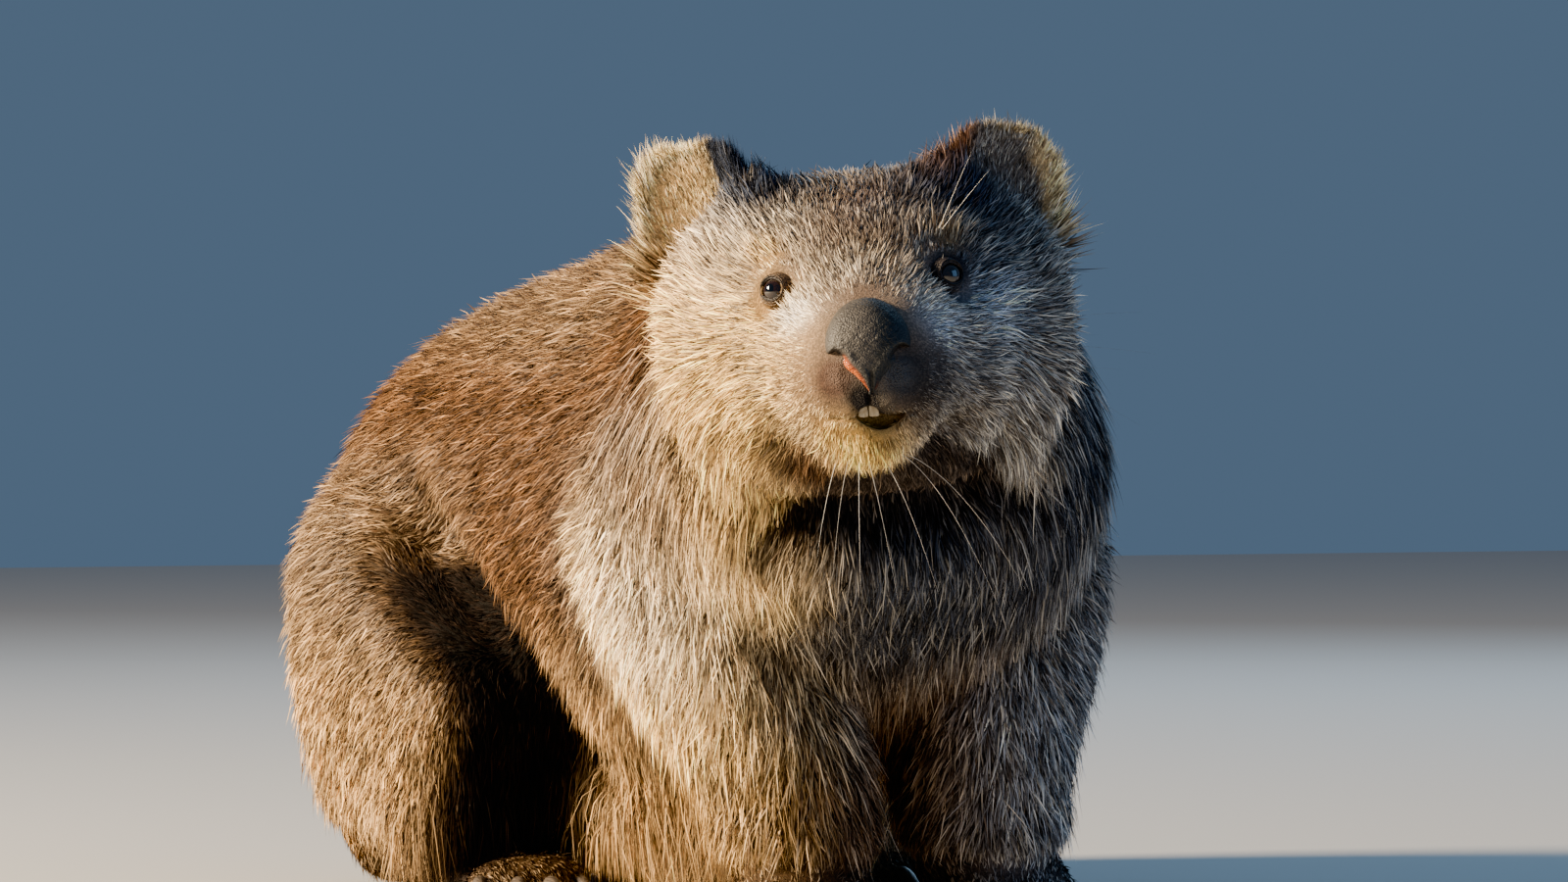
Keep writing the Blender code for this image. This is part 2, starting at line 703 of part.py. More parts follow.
def make_lock(surface, near, lie, size, neighbours, draw):
    """One lock rooted under the surface nearest to a point, or none where a neighbour leaves no room."""
    length, breadth, rise, follow, most_bend = size
    length *= draw.uniform(0.85, 1.15)
    rise *= draw.uniform(0.70, 1.30)
    root, outward, _, _ = surface.find_nearest(near)
    lie = (lie - lie.dot(outward) * outward).normalized()
    lie = Matrix.Rotation(draw.uniform(-0.15, 0.15), 3, outward) @ lie
    path = []
    for ahead, lifted, depth in LOCK_COURSE:
        straight = root + lie * (length * ahead)
        on_skin, skin_outward, _, _ = surface.find_nearest(straight)
        upward = outward.lerp(skin_outward, follow).normalized()
        point = straight.lerp(on_skin, follow) + upward * (rise * lifted - depth)
        for neighbour in neighbours:
            met, met_outward, _, _ = neighbour.find_nearest(point)
            apart = (point - met).dot(met_outward)
            bend = LOCK_CLEARANCE + breadth * LOCK_FLATNESS / 2 - apart
            if bend > most_bend:
                return None
            if ahead > 0:
                point += met_outward * max(0.0, bend)
        point.z = max(point.z, LOCK_FLOOR)
        path.append(point)
    return tube("lock", path, breadth / 2 * np.array(LOCK_BREADTHS), 4, LOCK_FLATNESS, outward)


def add_locks(body, roots, size, neighbours, draw):
    """Locks at each root, given as a point near the surface and the way that the hair lies there.

    What still reaches a neighbour is cut clear of it, by a little less than the gap between the bodies.
    """
    surface = surface_of(body)
    around = [surface_of(neighbour) for neighbour in neighbours]
    locks = [make_lock(surface, near, lie, size, around, draw) for near, lie in roots]
    combine(body, [lock for lock in locks if lock], "UNION", "MANIFOLD")
    cutters = [grown(neighbour, LOCK_TRIM * GAP) for neighbour in neighbours]
    combine(body, cutters, "DIFFERENCE", "MANIFOLD")


def ruff_roots():
    """Rows from one cheek, under the throat, to the other, lying back and outwards."""
    placed = head_frame()
    turned = placed.to_3x3()
    roots = []
    for back, first, last, count in RUFF_ROWS:
        for angle in np.radians(np.linspace(first, last, count)):
            out = Vector((math.cos(angle), 0, -math.sin(angle)))
            near = Vector((RUFF_REACH[0] * out.x, back, RUFF_REACH[1] * out.z))
            roots.append((placed @ near, turned @ (Vector((0, 1.0, -0.3)) + 0.35 * out)))
    return roots


def trunk_roots(rows, sides):
    """Rows on the underside of the trunk, lying back and down, on one side or mirrored to both."""
    roots = []
    table = np.array(TRUNK_ROWS)
    for distance, first, last, count in rows:
        level, half_width, _, down = (through(table[:, 0], table[:, c], distance) for c in range(1, 5))
        placed = spine_frame(distance)
        for angle in np.radians(np.linspace(first, last, count)):
            for side in sides:
                out = Vector((side * math.cos(angle), 0, -math.sin(angle)))
                near = Vector((half_width * out.x, 0, float(level) + down * out.z))
                roots.append((placed @ near, placed.to_3x3() @ Vector((0.2 * out.x, 0.9, -0.9))))
    return roots


# Where each foot stands, as shifts from the middle of its leg, and how far it is turned out
FORE_STRIDES = {"left": 0.004, "right": -0.002}
HIND_STRIDES = {"left": -0.010, "right": 0.000}
FORE_SHIFT = {"left": 0.012, "right": 0.018}
HIND_SHIFT = {"left": 0.0, "right": 0.0}
FORE_HEEL_Y = -0.168
HIND_HEEL_Y = 0.085
FORE_TOE_OUT = math.radians(6)
HIND_TOE_OUT = math.radians(10)


def make_legs(coat):
    """Legs and feet as lists in the order fore left, fore right, hind left, hind right."""
    legs, feet = [], []
    for kind, rows, foot_rows, toes, heel, out, strides, shifts in (
        ("fore", FORELEG_ROWS, FOREFOOT_ROWS, 5, FORE_HEEL_Y, FORE_TOE_OUT, FORE_STRIDES, FORE_SHIFT),
        ("hind", HINDLEG_ROWS, HINDFOOT_ROWS, 4, HIND_HEEL_Y, HIND_TOE_OUT, HIND_STRIDES, HIND_SHIFT),
    ):
        for word, side in (("left", 1), ("right", -1)):
            stride, shift = strides[word], shifts[word]
            leg = make_leg(f"{kind}leg_{word}", rows, side, stride, shift, coat)
            placed = Matrix.Translation((side * rows[0][1] + shift, heel - stride, 0))
            placed @= Matrix.Rotation(side * out, 4, "Z")
            foot = make_foot(f"{kind}foot_{word}", foot_rows, toes, placed, coat)
            combine(leg, [grown(foot, 2 * GAP)], "DIFFERENCE")
            legs.append(leg)
            feet.append(foot)
    return legs, feet


def build():
    clear_scene()
    coat = material("coat", COAT_COLOUR, 0.9)
    face = material("face_coat", FACE_COLOUR, 0.9)
    nose_skin = material("nose_skin", NOSE_COLOUR, 0.45)
    eye_glass = material("eye", EYE_COLOUR, 0.08)
    ivory = material("tooth", TOOTH_COLOUR, 0.35)

    head = make_head(face)
    eyes = make_eyes(head, eye_glass)
    nose = make_nose(nose_skin)
    incisors = make_incisors(ivory)
    cutters = [grown(nose), grown(incisors), make_mouth_cutter(), make_lip_line(head), *make_nostrils()]
    combine(head, cutters, "DIFFERENCE", "MANIFOLD")
    ears = [make_ear("left", 1, face), make_ear("right", -1, face)]
    for ear in ears:
        combine(ear, [grown(head)], "DIFFERENCE")
    turned = head_frame()
    for piece in (head, nose, incisors, *eyes, *ears):
        piece.data.transform(turned)

    legs, feet = make_legs(coat)
    torso = make_trunk(coat)
    neck = new_object("neck", torso.data.copy())
    cut = spine_frame(NECK_START)
    combine(torso, [slab((-1, GAP / 2, -1), (1, 2, 1), cut)], "INTERSECT")
    combine(neck, [slab((-1, -1, -1), (1, -GAP / 2, 1), cut)], "INTERSECT")
    combine(torso, [grown(leg) for leg in legs], "DIFFERENCE")
    combine(neck, [grown(head)], "DIFFERENCE")
    combine(neck, [grown(leg) for leg in legs[:2]], "DIFFERENCE")
    tail = make_tail(coat)
    combine(tail, [grown(torso)], "DIFFERENCE")

    draw = random.Random(LOCK_SEED)
    add_locks(head, ruff_roots(), RUFF_LOCK, [neck, torso], draw)
    add_locks(neck, trunk_roots(CHEST_ROWS, (1,)), CHEST_LOCK, [head, torso, *legs[:2]], draw)
    add_locks(torso, trunk_roots(BELLY_ROWS, (1, -1)), BELLY_LOCK, legs, draw)

    parts = [torso, neck, tail, head, nose, incisors, *eyes, *ears, *legs, *feet]
    corners = np.array([v.co for part in parts for v in part.data.vertices])
    middle = (corners.min(0) + corners.max(0)) / 2
    for part in parts:
        part.data.transform(Matrix.Translation((-middle[0], -middle[1], 0)))


build()
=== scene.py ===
import math

import bmesh
import bpy
import numpy as np
from mathutils import Matrix, Vector


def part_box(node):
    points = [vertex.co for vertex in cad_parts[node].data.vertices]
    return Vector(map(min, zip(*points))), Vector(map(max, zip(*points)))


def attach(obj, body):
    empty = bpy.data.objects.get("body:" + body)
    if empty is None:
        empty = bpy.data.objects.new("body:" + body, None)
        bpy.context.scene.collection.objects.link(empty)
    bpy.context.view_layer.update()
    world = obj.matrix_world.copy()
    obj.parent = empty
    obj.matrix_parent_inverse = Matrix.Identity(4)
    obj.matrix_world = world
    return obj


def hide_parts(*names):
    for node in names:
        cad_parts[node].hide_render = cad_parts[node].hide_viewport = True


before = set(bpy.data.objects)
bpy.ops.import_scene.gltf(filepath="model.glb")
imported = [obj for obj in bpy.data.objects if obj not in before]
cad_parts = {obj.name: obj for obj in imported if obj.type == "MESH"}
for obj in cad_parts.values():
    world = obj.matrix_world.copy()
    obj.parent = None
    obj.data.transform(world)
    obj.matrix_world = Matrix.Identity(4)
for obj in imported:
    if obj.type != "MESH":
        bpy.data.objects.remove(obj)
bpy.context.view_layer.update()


# The camera: a long lens five metres in front of the nose, level with it, looking back along the
# head. The animal stands so near to it that the frame cuts off the feet and the far flank.
CAMERA_TURN = math.radians(-25)
CAMERA_DISTANCE = 5.0
FOCAL_PIXELS = 10400
NOSE_PIXEL = (883, 350)
NOSE_DROP_PIXELS = 126

turn_across = Vector((math.cos(CAMERA_TURN), math.sin(CAMERA_TURN), 0))
level_view = Vector((-math.sin(CAMERA_TURN), math.cos(CAMERA_TURN), 0))
pitch = math.atan(NOSE_DROP_PIXELS / FOCAL_PIXELS)
view_along = level_view * math.cos(pitch) - Vector((0, 0, math.sin(pitch)))
view_up = turn_across.cross(view_along)
nose_middle = sum(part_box("nose"), Vector()) / 2
pixel = CAMERA_DISTANCE / FOCAL_PIXELS
stand = (
    nose_middle
    - view_along * CAMERA_DISTANCE
    - turn_across * (NOSE_PIXEL[0] - 800) * pixel
    - view_up * (450 - NOSE_PIXEL[1] - 5) * pixel
)
camera = bpy.data.objects.new("camera", bpy.data.cameras.new("camera"))
bpy.context.scene.collection.objects.link(camera)
camera.data.lens = 36 * FOCAL_PIXELS / 1600
camera.data.clip_end = 100
camera.matrix_world = Matrix.Translation(stand) @ Matrix(
    [(a, b, -c) for a, b, c in zip(turn_across, view_up, view_along)]
).to_4x4()
bpy.context.scene.camera = camera


# The floor and the light: a plain pale floor, a broad warm lamp high on the animal's right, a cool
# one on its left, and an even pale sky that fills the shade.
FLOOR_SIZE = 14.0
FLOOR_COLOUR = (0.50, 0.50, 0.49)
LAMPS = {
    "key": ((-3.90, 0.84, 1.85), 0.8, 1400, (1.00, 0.78, 0.52)),
    "fill": ((3.0, -3.2, 1.6), 3.0, 62, (0.26, 0.54, 1.00)),
    "back": ((2.4, 2.6, 2.4), 2.4, 110, (0.45, 0.72, 1.00)),
}
SKY_COLOUR = (0.40, 0.64, 1.00)

floor_mesh = bpy.data.meshes.new("floor")
half = FLOOR_SIZE / 2
floor_mesh.from_pydata([(-half, -half, 0), (half, -half, 0), (half, half, 0), (-half, half, 0)], [], [(0, 1, 2, 3)])
floor = bpy.data.objects.new("floor", floor_mesh)
bpy.context.scene.collection.objects.link(floor)
floor_paint = bpy.data.materials.new("floor_paint")
floor_paint.use_nodes = True
floor_paint.node_tree.nodes["Principled BSDF"].inputs["Base Color"].default_value = (*FLOOR_COLOUR, 1)
floor_paint.node_tree.nodes["Principled BSDF"].inputs["Roughness"].default_value = 0.9
floor_mesh.materials.append(floor_paint)

for word, (place, size, power, colour) in LAMPS.items():
    lamp = bpy.data.objects.new(word, bpy.data.lights.new(word, "AREA"))
    bpy.context.scene.collection.objects.link(lamp)
    lamp.data.size = size
    lamp.data.energy = power
    lamp.data.color = colour
    lamp.location = place
    lamp.rotation_euler = (Vector((0, -0.1, 0.2)) - Vector(place)).to_track_quat("-Z", "Y").to_euler()

sky = bpy.data.worlds.new("sky")
sky.use_nodes = True
sky.node_tree.nodes["Background"].inputs["Color"].default_value = (*SKY_COLOUR, 1)
sky.node_tree.nodes["Background"].inputs["Strength"].default_value = 0.36
bpy.context.scene.world = sky
bpy.context.scene.view_settings.look = "AgX - Punchy"


# The skin: one hide over trunk, neck, head and limbs, drawn in under the outline by the depth of
# the coat. The forms are lofted from rows of sizes, fused, and evened out where they meet.
WHOLE_SHIFT = (0.00196, 0.06879)
SPINE_LENGTH = 0.815
HEAD_TURN = math.radians(-25)
TURN_START, TURN_END = 0.405, 0.625
RUMP_Y = 0.325
TRUNK_DEPTH = 0.009
LEG_DEPTH = 0.005
FOOT_DEPTH = 0.0025
# Distance from the rump, level, half width, height above, depth below
TRUNK_ROWS = (
    (0.006, 0.196, 0.040, 0.049, 0.062),
    (0.020, 0.194, 0.070, 0.079, 0.098),
    (0.050, 0.190, 0.104, 0.111, 0.136),
    (0.095, 0.188, 0.130, 0.132, 0.156),
    (0.150, 0.188, 0.143, 0.146, 0.162),
    (0.230, 0.188, 0.149, 0.160, 0.162),
    (0.320, 0.192, 0.149, 0.172, 0.160),
    (0.410, 0.200, 0.145, 0.174, 0.156),
    (0.490, 0.212, 0.142, 0.169, 0.130),
    (0.555, 0.232, 0.133, 0.150, 0.106),
    (0.610, 0.250, 0.114, 0.126, 0.098),
    (0.670, 0.260, 0.085, 0.090, 0.080),
)
# Height, place across, place along, half width, half length
FORELEG_ROWS = (
    (0.020, 0.054, -0.196, 0.036, 0.038),
    (0.040, 0.055, -0.194, 0.043, 0.048),
    (0.070, 0.058, -0.187, 0.047, 0.055),
    (0.100, 0.064, -0.176, 0.054, 0.063),
    (0.140, 0.075, -0.162, 0.063, 0.071),
    (0.190, 0.086, -0.152, 0.064, 0.075),
    (0.235, 0.080, -0.150, 0.052, 0.062),
    (0.270, 0.066, -0.150, 0.030, 0.040),
)
HINDLEG_ROWS = (
    (0.008, 0.094, 0.137, 0.040, 0.068),
    (0.022, 0.097, 0.129, 0.048, 0.094),
    (0.045, 0.100, 0.122, 0.054, 0.117),
    (0.070, 0.103, 0.117, 0.058, 0.135),
    (0.100, 0.106, 0.113, 0.061, 0.148),
    (0.140, 0.109, 0.116, 0.062, 0.147),
    (0.180, 0.108, 0.129, 0.060, 0.131),
    (0.205, 0.102, 0.143, 0.054, 0.107),
    (0.228, 0.092, 0.158, 0.041, 0.078),
    (0.245, 0.081, 0.175, 0.026, 0.045),
)
# Place along, half width, height, roundness
FOREFOOT_ROWS = (
    (0.000, 0.022, 0.034, 2.2),
    (0.014, 0.032, 0.046, 2.3),
    (0.032, 0.037, 0.047, 2.4),
    (0.050, 0.038, 0.038, 2.5),
    (0.064, 0.035, 0.028, 2.5),
    (0.071, 0.030, 0.022, 2.4),
)
HINDFOOT_ROWS = (
    (0.000, 0.022, 0.028, 2.2),
    (0.022, 0.032, 0.044, 2.3),
    (0.048, 0.037, 0.048, 2.4),
    (0.074, 0.037, 0.040, 2.4),
    (0.096, 0.034, 0.028, 2.5),
    (0.106, 0.029, 0.022, 2.4),
)
TOE_SIZE = (0.0095, 0.0140, 0.0175)
SOLE_LEVEL = 0.010
# Side, foot rows, leg rows, toes, heel, turn out, stride, shift
LIMBS = {
    "fore_left": (1, FOREFOOT_ROWS, FORELEG_ROWS, 5, -0.168, 6, 0.004, 0.012),
    "fore_right": (-1, FOREFOOT_ROWS, FORELEG_ROWS, 5, -0.168, 6, -0.002, 0.018),
    "hind_left": (1, HINDFOOT_ROWS, HINDLEG_ROWS, 4, 0.085, 10, -0.010, 0.0),
    "hind_right": (-1, HINDFOOT_ROWS, HINDLEG_ROWS, 4, 0.085, 10, 0.0, 0.0),
}
# Head: distance back, level, half width, height above, depth below, squareness of the crown, coat
HEAD_ROWS = (
    (0.003, -0.015, 0.0160, 0.0140, 0.0200, 2.20, 0.0010),
    (0.009, -0.014, 0.0260, 0.0230, 0.0290, 2.20, 0.0010),
    (0.018, -0.014, 0.0350, 0.0320, 0.0380, 2.20, 0.0012),
    (0.030, -0.014, 0.0440, 0.0420, 0.0450, 2.20, 0.0015),
    (0.045, -0.014, 0.0540, 0.0550, 0.0510, 2.20, 0.0020),
    (0.060, -0.014, 0.0650, 0.0680, 0.0560, 2.20, 0.0030),
    (0.075, -0.014, 0.0770, 0.0810, 0.0610, 2.25, 0.0045),
    (0.095, -0.013, 0.0940, 0.0930, 0.0670, 2.40, 0.0070),
    (0.115, -0.012, 0.1060, 0.1000, 0.0710, 2.70, 0.0085),
    (0.135, -0.010, 0.1100, 0.1020, 0.0730, 2.90, 0.0090),
    (0.155, -0.008, 0.1070, 0.1000, 0.0730, 2.80, 0.0090),
    (0.175, -0.005, 0.0990, 0.0940, 0.0700, 2.60, 0.0090),
    (0.195, 0.000, 0.0850, 0.0820, 0.0610, 2.40, 0.0090),
    (0.210, 0.004, 0.0670, 0.0630, 0.0490, 2.30, 0.0090),
    (0.220, 0.006, 0.0460, 0.0420, 0.0360, 2.20, 0.0090),
)
# Soft forms pushed out of or into the head: across, back, up, reach, height
HEAD_FORMS = (
    (0.045, 0.060, 0.030, 0.015, -0.0035),
    (0.045, 0.074, 0.046, 0.017, 0.0040),
    (0.022, 0.014, -0.024, 0.013, 0.0035),
    (0.044, 0.042, -0.009, 0.013, -0.0022),
    (0.054, 0.054, -0.024, 0.022, 0.0030),
    (0.000, 0.010, -0.029, 0.0045, -0.0025),
    (0.000, 0.024, -0.052, 0.013, 0.0030),
    (0.000, 0.095, 0.080, 0.026, -0.0018),
)
NOSE_HEIGHT = 0.300
HEAD_ROLL = math.radians(-5)
SKIN_VOXEL = 0.005


def through(stations, values, at):
    """Values at the places `at`, on a cubic through the stations that never overshoots them."""
    stations, values = np.asarray(stations, float), np.asarray(values, float)
    steps = np.diff(stations)
    rises = np.diff(values) / steps
    slopes = np.concatenate([rises[:1], (rises[:-1] + rises[1:]) / 2, rises[-1:]])
    slopes[1:-1][rises[:-1] * rises[1:] <= 0] = 0
    at = np.clip(at, stations[0], stations[-1])
    k = np.clip(np.searchsorted(stations, at) - 1, 0, len(steps) - 1)
    t = (at - stations[k]) / steps[k]
    start = (1 + 2 * t) * (1 - t) ** 2 * values[k] + t * (1 - t) ** 2 * steps[k] * slopes[k]
    return start + t**2 * (3 - 2 * t) * values[k + 1] + t**2 * (t - 1) * steps[k] * slopes[k + 1]


def columns(rows, at):
    """Each column of a table of rows, read smoothly at the places `at` in its first column."""
    table = np.array(rows, float)
    return [through(table[:, 0], table[:, c], at) for c in range(1, table.shape[1])]


def soft(value):
    """A step from 0 to 1 as value goes from 0 to 1, level at both ends: t squared times (3 - 2t)."""
    t = np.clip(value, 0, 1)
    return t * t * (3 - 2 * t)


def outline(sides, half_width, up, down, top_power, base_power):
    """Closed superellipses: cosine and sine to the power 2/n, scaled across, above and below."""
    turn = np.arange(sides) * 2 * math.pi / sides
    across, rise = np.cos(turn), np.sin(turn)
    power = 2 / np.where(rise >= 0, top_power, base_power)
    x = half_width * np.sign(across) * np.abs(across) ** power
    return x, np.where(rise >= 0, up, down) * np.sign(rise) * np.abs(rise) ** power


def spine(distance):
    """Place and heading at a distance from the rump: the heading turns softly, the place is its sum."""
    steps = np.linspace(0, SPINE_LENGTH, 600)
    heading = HEAD_TURN * soft((steps - TURN_START) / (TURN_END - TURN_START))
    stride = steps[1] - steps[0]
    x = WHOLE_SHIFT[0] + np.concatenate([[0], np.cumsum(np.sin(heading[:-1])) * stride])
    y = WHOLE_SHIFT[1] + RUMP_Y - np.concatenate([[0], np.cumsum(np.cos(heading[:-1])) * stride])
    return np.interp(distance, steps, x), np.interp(distance, steps, y), np.interp(distance, steps, heading)


def shell(rings, first_tip, last_tip):
    """Points and faces of a closed body: quads between neighbouring rings, and a fan at each end."""
    count, sides = rings.shape[:2]
    low = np.arange(count - 1)[:, None] * sides + np.arange(sides)
    following = np.arange(count - 1)[:, None] * sides + (np.arange(sides) + 1) % sides
    quads = np.stack([low, following, following + sides, low + sides], -1).reshape(-1, 4)
    ring, after = np.arange(sides), (np.arange(sides) + 1) % sides
    top = (count - 1) * sides
    ends = [
        np.stack([0 * ring + count * sides, after, ring], 1),
        np.stack([0 * ring + count * sides + 1, ring + top, after + top], 1),
    ]
    points = np.concatenate([rings.reshape(-1, 3), [first_tip, last_tip]])
    return points, quads.tolist() + np.concatenate(ends).tolist()


def joined(shells):
    """Several bodies as one: the points end to end, and each face's numbers moved on to match."""
    points, faces, count = [], [], 0
    for some, these in shells:
        points.append(some)
        faces += [[i + count for i in face] for face in these]
        count += len(some)
    return np.concatenate(points), faces


def piece_of(name, points, faces):
    """A new object with this mesh, smooth, in the row frame."""
    mesh = bpy.data.meshes.new(name)
    mesh.from_pydata(np.asarray(points).tolist(), [], faces)
    mesh.shade_smooth()
    made = bpy.data.objects.new(name, mesh)
    bpy.context.scene.collection.objects.link(made)
    return made


def settle(piece):
    """The piece's mesh becomes what its modifiers make of it."""
    graph = bpy.context.evaluated_depsgraph_get()
    mesh = bpy.data.meshes.new_from_object(piece.evaluated_get(graph))
    piece.modifiers.clear()
    old, piece.data = piece.data, mesh
    bpy.data.meshes.remove(old)


def points_of(mesh):
    found = np.empty(len(mesh.vertices) * 3, np.float32)
    mesh.vertices.foreach_get("co", found)
    return found.reshape(-1, 3).astype(float)


def normals_of(mesh):
    found = np.empty(len(mesh.vertices) * 3, np.float32)
    mesh.vertices.foreach_get("normal", found)
    return found.reshape(-1, 3).astype(float)


def put_points(mesh, points):
    mesh.vertices.foreach_set("co", points.astype(np.float32).ravel())
    mesh.update()


end_x, end_y, end_heading = (float(v) for v in spine(SPINE_LENGTH))
head_place = (
    Matrix.Translation((end_x, end_y, NOSE_HEIGHT))
    @ Matrix.Rotation(end_heading, 4, "Z")
    @ Matrix.Rotation(HEAD_ROLL, 4, "Y")
)
head_turned = np.array(head_place)[:3, :3]
head_origin = np.array(head_place)[:3, 3]


def in_head(points):
    """Points in the head's own frame: x to its left, y back from the nose, z up."""
    return (points - head_origin) @ head_turned


def from_head(points):
    return points @ head_turned.T + head_origin


def trunk_shell():
    """Rings of superellipses square to the spine, each drawn in by the coat's depth."""
    at = np.linspace(TRUNK_ROWS[0][0], TRUNK_ROWS[-1][0], 64)
    rings = []
    for distance, level, half_width, up, down in zip(at, *columns(TRUNK_ROWS, at)):
        sizes = np.array((half_width, up, down)) - TRUNK_DEPTH
        x, z = outline(72, *sizes, 1.85, 1.95)
        px, py, heading = spine(distance)
        rings.append(np.stack([px + x * np.cos(heading), py + x * np.sin(heading), z + level], 1))
    ends = [ring.mean(0) for ring in (rings[0], rings[-1])]
    return shell(np.array(rings), *ends)


def leg_shell(side, rows, stride, shift):
    """Level ellipses up the leg, the lower ones moved with the foot by a soft share."""
    at = np.linspace(rows[0][0], rows[-1][0], 26)
    turn = np.arange(32) * 2 * math.pi / 32
    rings = []
    for height, across, along, half_width, half_length in zip(at, *columns(rows, at)):
        fade = 1 - soft(height / rows[-1][0])
        x = side * across + shift * fade + (half_width - LEG_DEPTH) * np.cos(turn)
        y = along - stride * fade + (half_length - LEG_DEPTH) * np.sin(turn)
        rings.append(np.stack([x + WHOLE_SHIFT[0], y + WHOLE_SHIFT[1], 0 * x + height], 1))
    ends = [ring.mean(0) for ring in (rings[0], rings[-1])]
    return shell(np.array(rings), *ends)


def foot_place(word):
    side, _, leg_rows, _, heel, out, stride, shift = LIMBS[word]
    place = Matrix.Translation(
        (side * leg_rows[0][1] + shift + WHOLE_SHIFT[0], heel - stride + WHOLE_SHIFT[1], 0)
    )
    return np.array(place @ Matrix.Rotation(side * math.radians(out), 4, "Z"))


def toes_of(word):
    """Each toe's place across from -1 to 1, and its x and y in the foot's own frame."""
    rows, count = LIMBS[word][1], LIMBS[word][3]
    share = 2 * np.arange(count) / (count - 1) - 1
    return share, rows[-2][1] * 0.78 * share, -rows[-1][0] + 0.014 * share**2


def foot_shells(word):
    """Upright superellipses from heel to toe over a flat sole, and a rounded toe before each claw."""
    rows = LIMBS[word][1]
    place = foot_place(word)
    at = np.linspace(rows[0][0], rows[-1][0], 20)
    rings = []
    for along, half_width, height, power in zip(at, *columns(rows, at)):
        x, z = outline(32, half_width - FOOT_DEPTH, height - SOLE_LEVEL - FOOT_DEPTH, SOLE_LEVEL, power, power)
        rings.append(np.stack([x, 0 * x - along, z + SOLE_LEVEL + 0.001], 1))
    ends = [ring.mean(0) for ring in (rings[0], rings[-1])]
    foot, faces = shell(np.array(rings), *ends)
    made = [(foot @ place[:3, :3].T + place[:3, 3], faces)]
    for _, x, y in zip(*toes_of(word)):
        fall = np.linspace(0.15, math.pi - 0.15, 12)
        turn = np.arange(16) * math.pi / 8
        reach = np.array(TOE_SIZE) - FOOT_DEPTH * 0.6
        ball = np.stack(
            [
                x + reach[0] * np.sin(fall)[:, None] * np.cos(turn),
                y + reach[1] * np.sin(fall)[:, None] * np.sin(turn),
                np.maximum(0.002 + reach[2] * np.cos(fall)[:, None] * np.ones(16), 0.0012),
            ],
            -1,
        )
        toe, toe_faces = shell(ball, ball[0].mean(0), ball[-1].mean(0))
        made.append((toe @ place[:3, :3].T + place[:3, 3], toe_faces))
    return made


def head_rings(count, sides, depth_share):
    """Superellipses along the head with soft bumps added along the ray from the middle of each."""
    share = np.linspace(0, 1, count)
    rows = np.array(HEAD_ROWS)
    at = rows[0, 0] + (rows[-1, 0] - rows[0, 0]) * (0.62 * share + 0.38 * share**2)
    rings = []
    for back, level, half_width, up, down, crown, coat in zip(at, *columns(HEAD_ROWS, at)):
        sizes = np.array((half_width, up, down)) - coat * depth_share
        x, z = outline(sides, *sizes, crown, 2.15)
        ring = np.stack([x, 0 * x + back, z + level], 1)
        middle = np.array([0, back + 0.006, level])
        for across, along, up_by, reach, height in HEAD_FORMS:
            for side in (-1, 1) if across else (1,):
                apart = np.linalg.norm(ring - (side * across, along, up_by), axis=1)
                away = ring - middle
                away /= np.linalg.norm(away, axis=1)[:, None]
                ring = ring + away * (height * np.exp(-((apart / reach) ** 2)))[:, None]
        rings.append(ring)
    return np.array(rings)


def waves(points, length, seed):
    """A smooth random number from about -1 to 1 at each point: six sines of random direction summed."""
    draw = np.random.default_rng(seed)
    total = 0
    for _ in range(6):
        way = draw.normal(size=3)
        way *= 2 * math.pi / length * draw.uniform(0.6, 1.5) / np.linalg.norm(way)
        total = total + np.sin(points @ way + draw.uniform(0, 2 * math.pi))
    return total / 3


def add_point_value(mesh, word, values):
    mesh.attributes.new(word, "FLOAT", "POINT").data.foreach_set("value", np.asarray(values, np.float32))


rings = head_rings(80, 120, 1.0)
head_points, head_faces = shell(rings, (0, 0.001, -0.015), (0, 0.224, 0.006))
head_shell = (from_head(head_points), head_faces)
shells = [trunk_shell(), head_shell]
for word, (side, _, leg_rows, _, _, _, stride, shift) in LIMBS.items():
    shells.append(leg_shell(side, leg_rows, stride, shift))
    shells += foot_shells(word)

skin = piece_of("skin", *joined(shells))
fuse = skin.modifiers.new("fuse", "REMESH")
fuse.mode = "VOXEL"
fuse.voxel_size = SKIN_VOXEL
settle(skin)


def edges_of(mesh):
    found = np.empty(len(mesh.edges) * 2, np.int32)
    mesh.edges.foreach_get("vertices", found)
    return found.reshape(-1, 2)


def relaxed(points, edges, share, times):
    """Each point moved by its share of the way to the mean of its neighbours, this many times."""
    joins = np.bincount(edges.ravel(), minlength=len(points))[:, None]
    for _ in range(times):
        total = np.zeros_like(points)
        for axis in range(3):
            total[:, axis] = np.bincount(edges[:, 0], points[edges[:, 1], axis], len(points))
            total[:, axis] += np.bincount(edges[:, 1], points[edges[:, 0], axis], len(points))
        points = points + share[:, None] * (total / joins - points)
    return points


def cut_finer(piece, chosen):
    """Every edge between chosen points is cut in two, and the faces filled with a finer grid."""
    mesh = bmesh.new()
    mesh.from_mesh(piece.data)
    mesh.edges.ensure_lookup_table()
    both = chosen[edges_of(piece.data)].all(1)
    bmesh.ops.subdivide_edges(mesh, edges=[mesh.edges[k] for k in np.flatnonzero(both)], cuts=1, use_grid_fill=True)
    mesh.to_mesh(piece.data)
    mesh.free()


# The creases where the head and limbs join are filled, as muscle and loose skin fill them.
points = points_of(skin.data)
h = in_head(points)
crease = 0.35 * np.ones(len(points))
crease += 0.6 * soft((h[:, 1] - 0.10) / 0.03) * soft((0.30 - h[:, 1]) / 0.05)
crease = np.where((points[:, 2] < 0.05) & (h[:, 1] > 0.1), 0.15, np.minimum(crease, 0.95))
points = relaxed(points, edges_of(skin.data), crease * 0.55, 14)
put_points(skin.data, points)

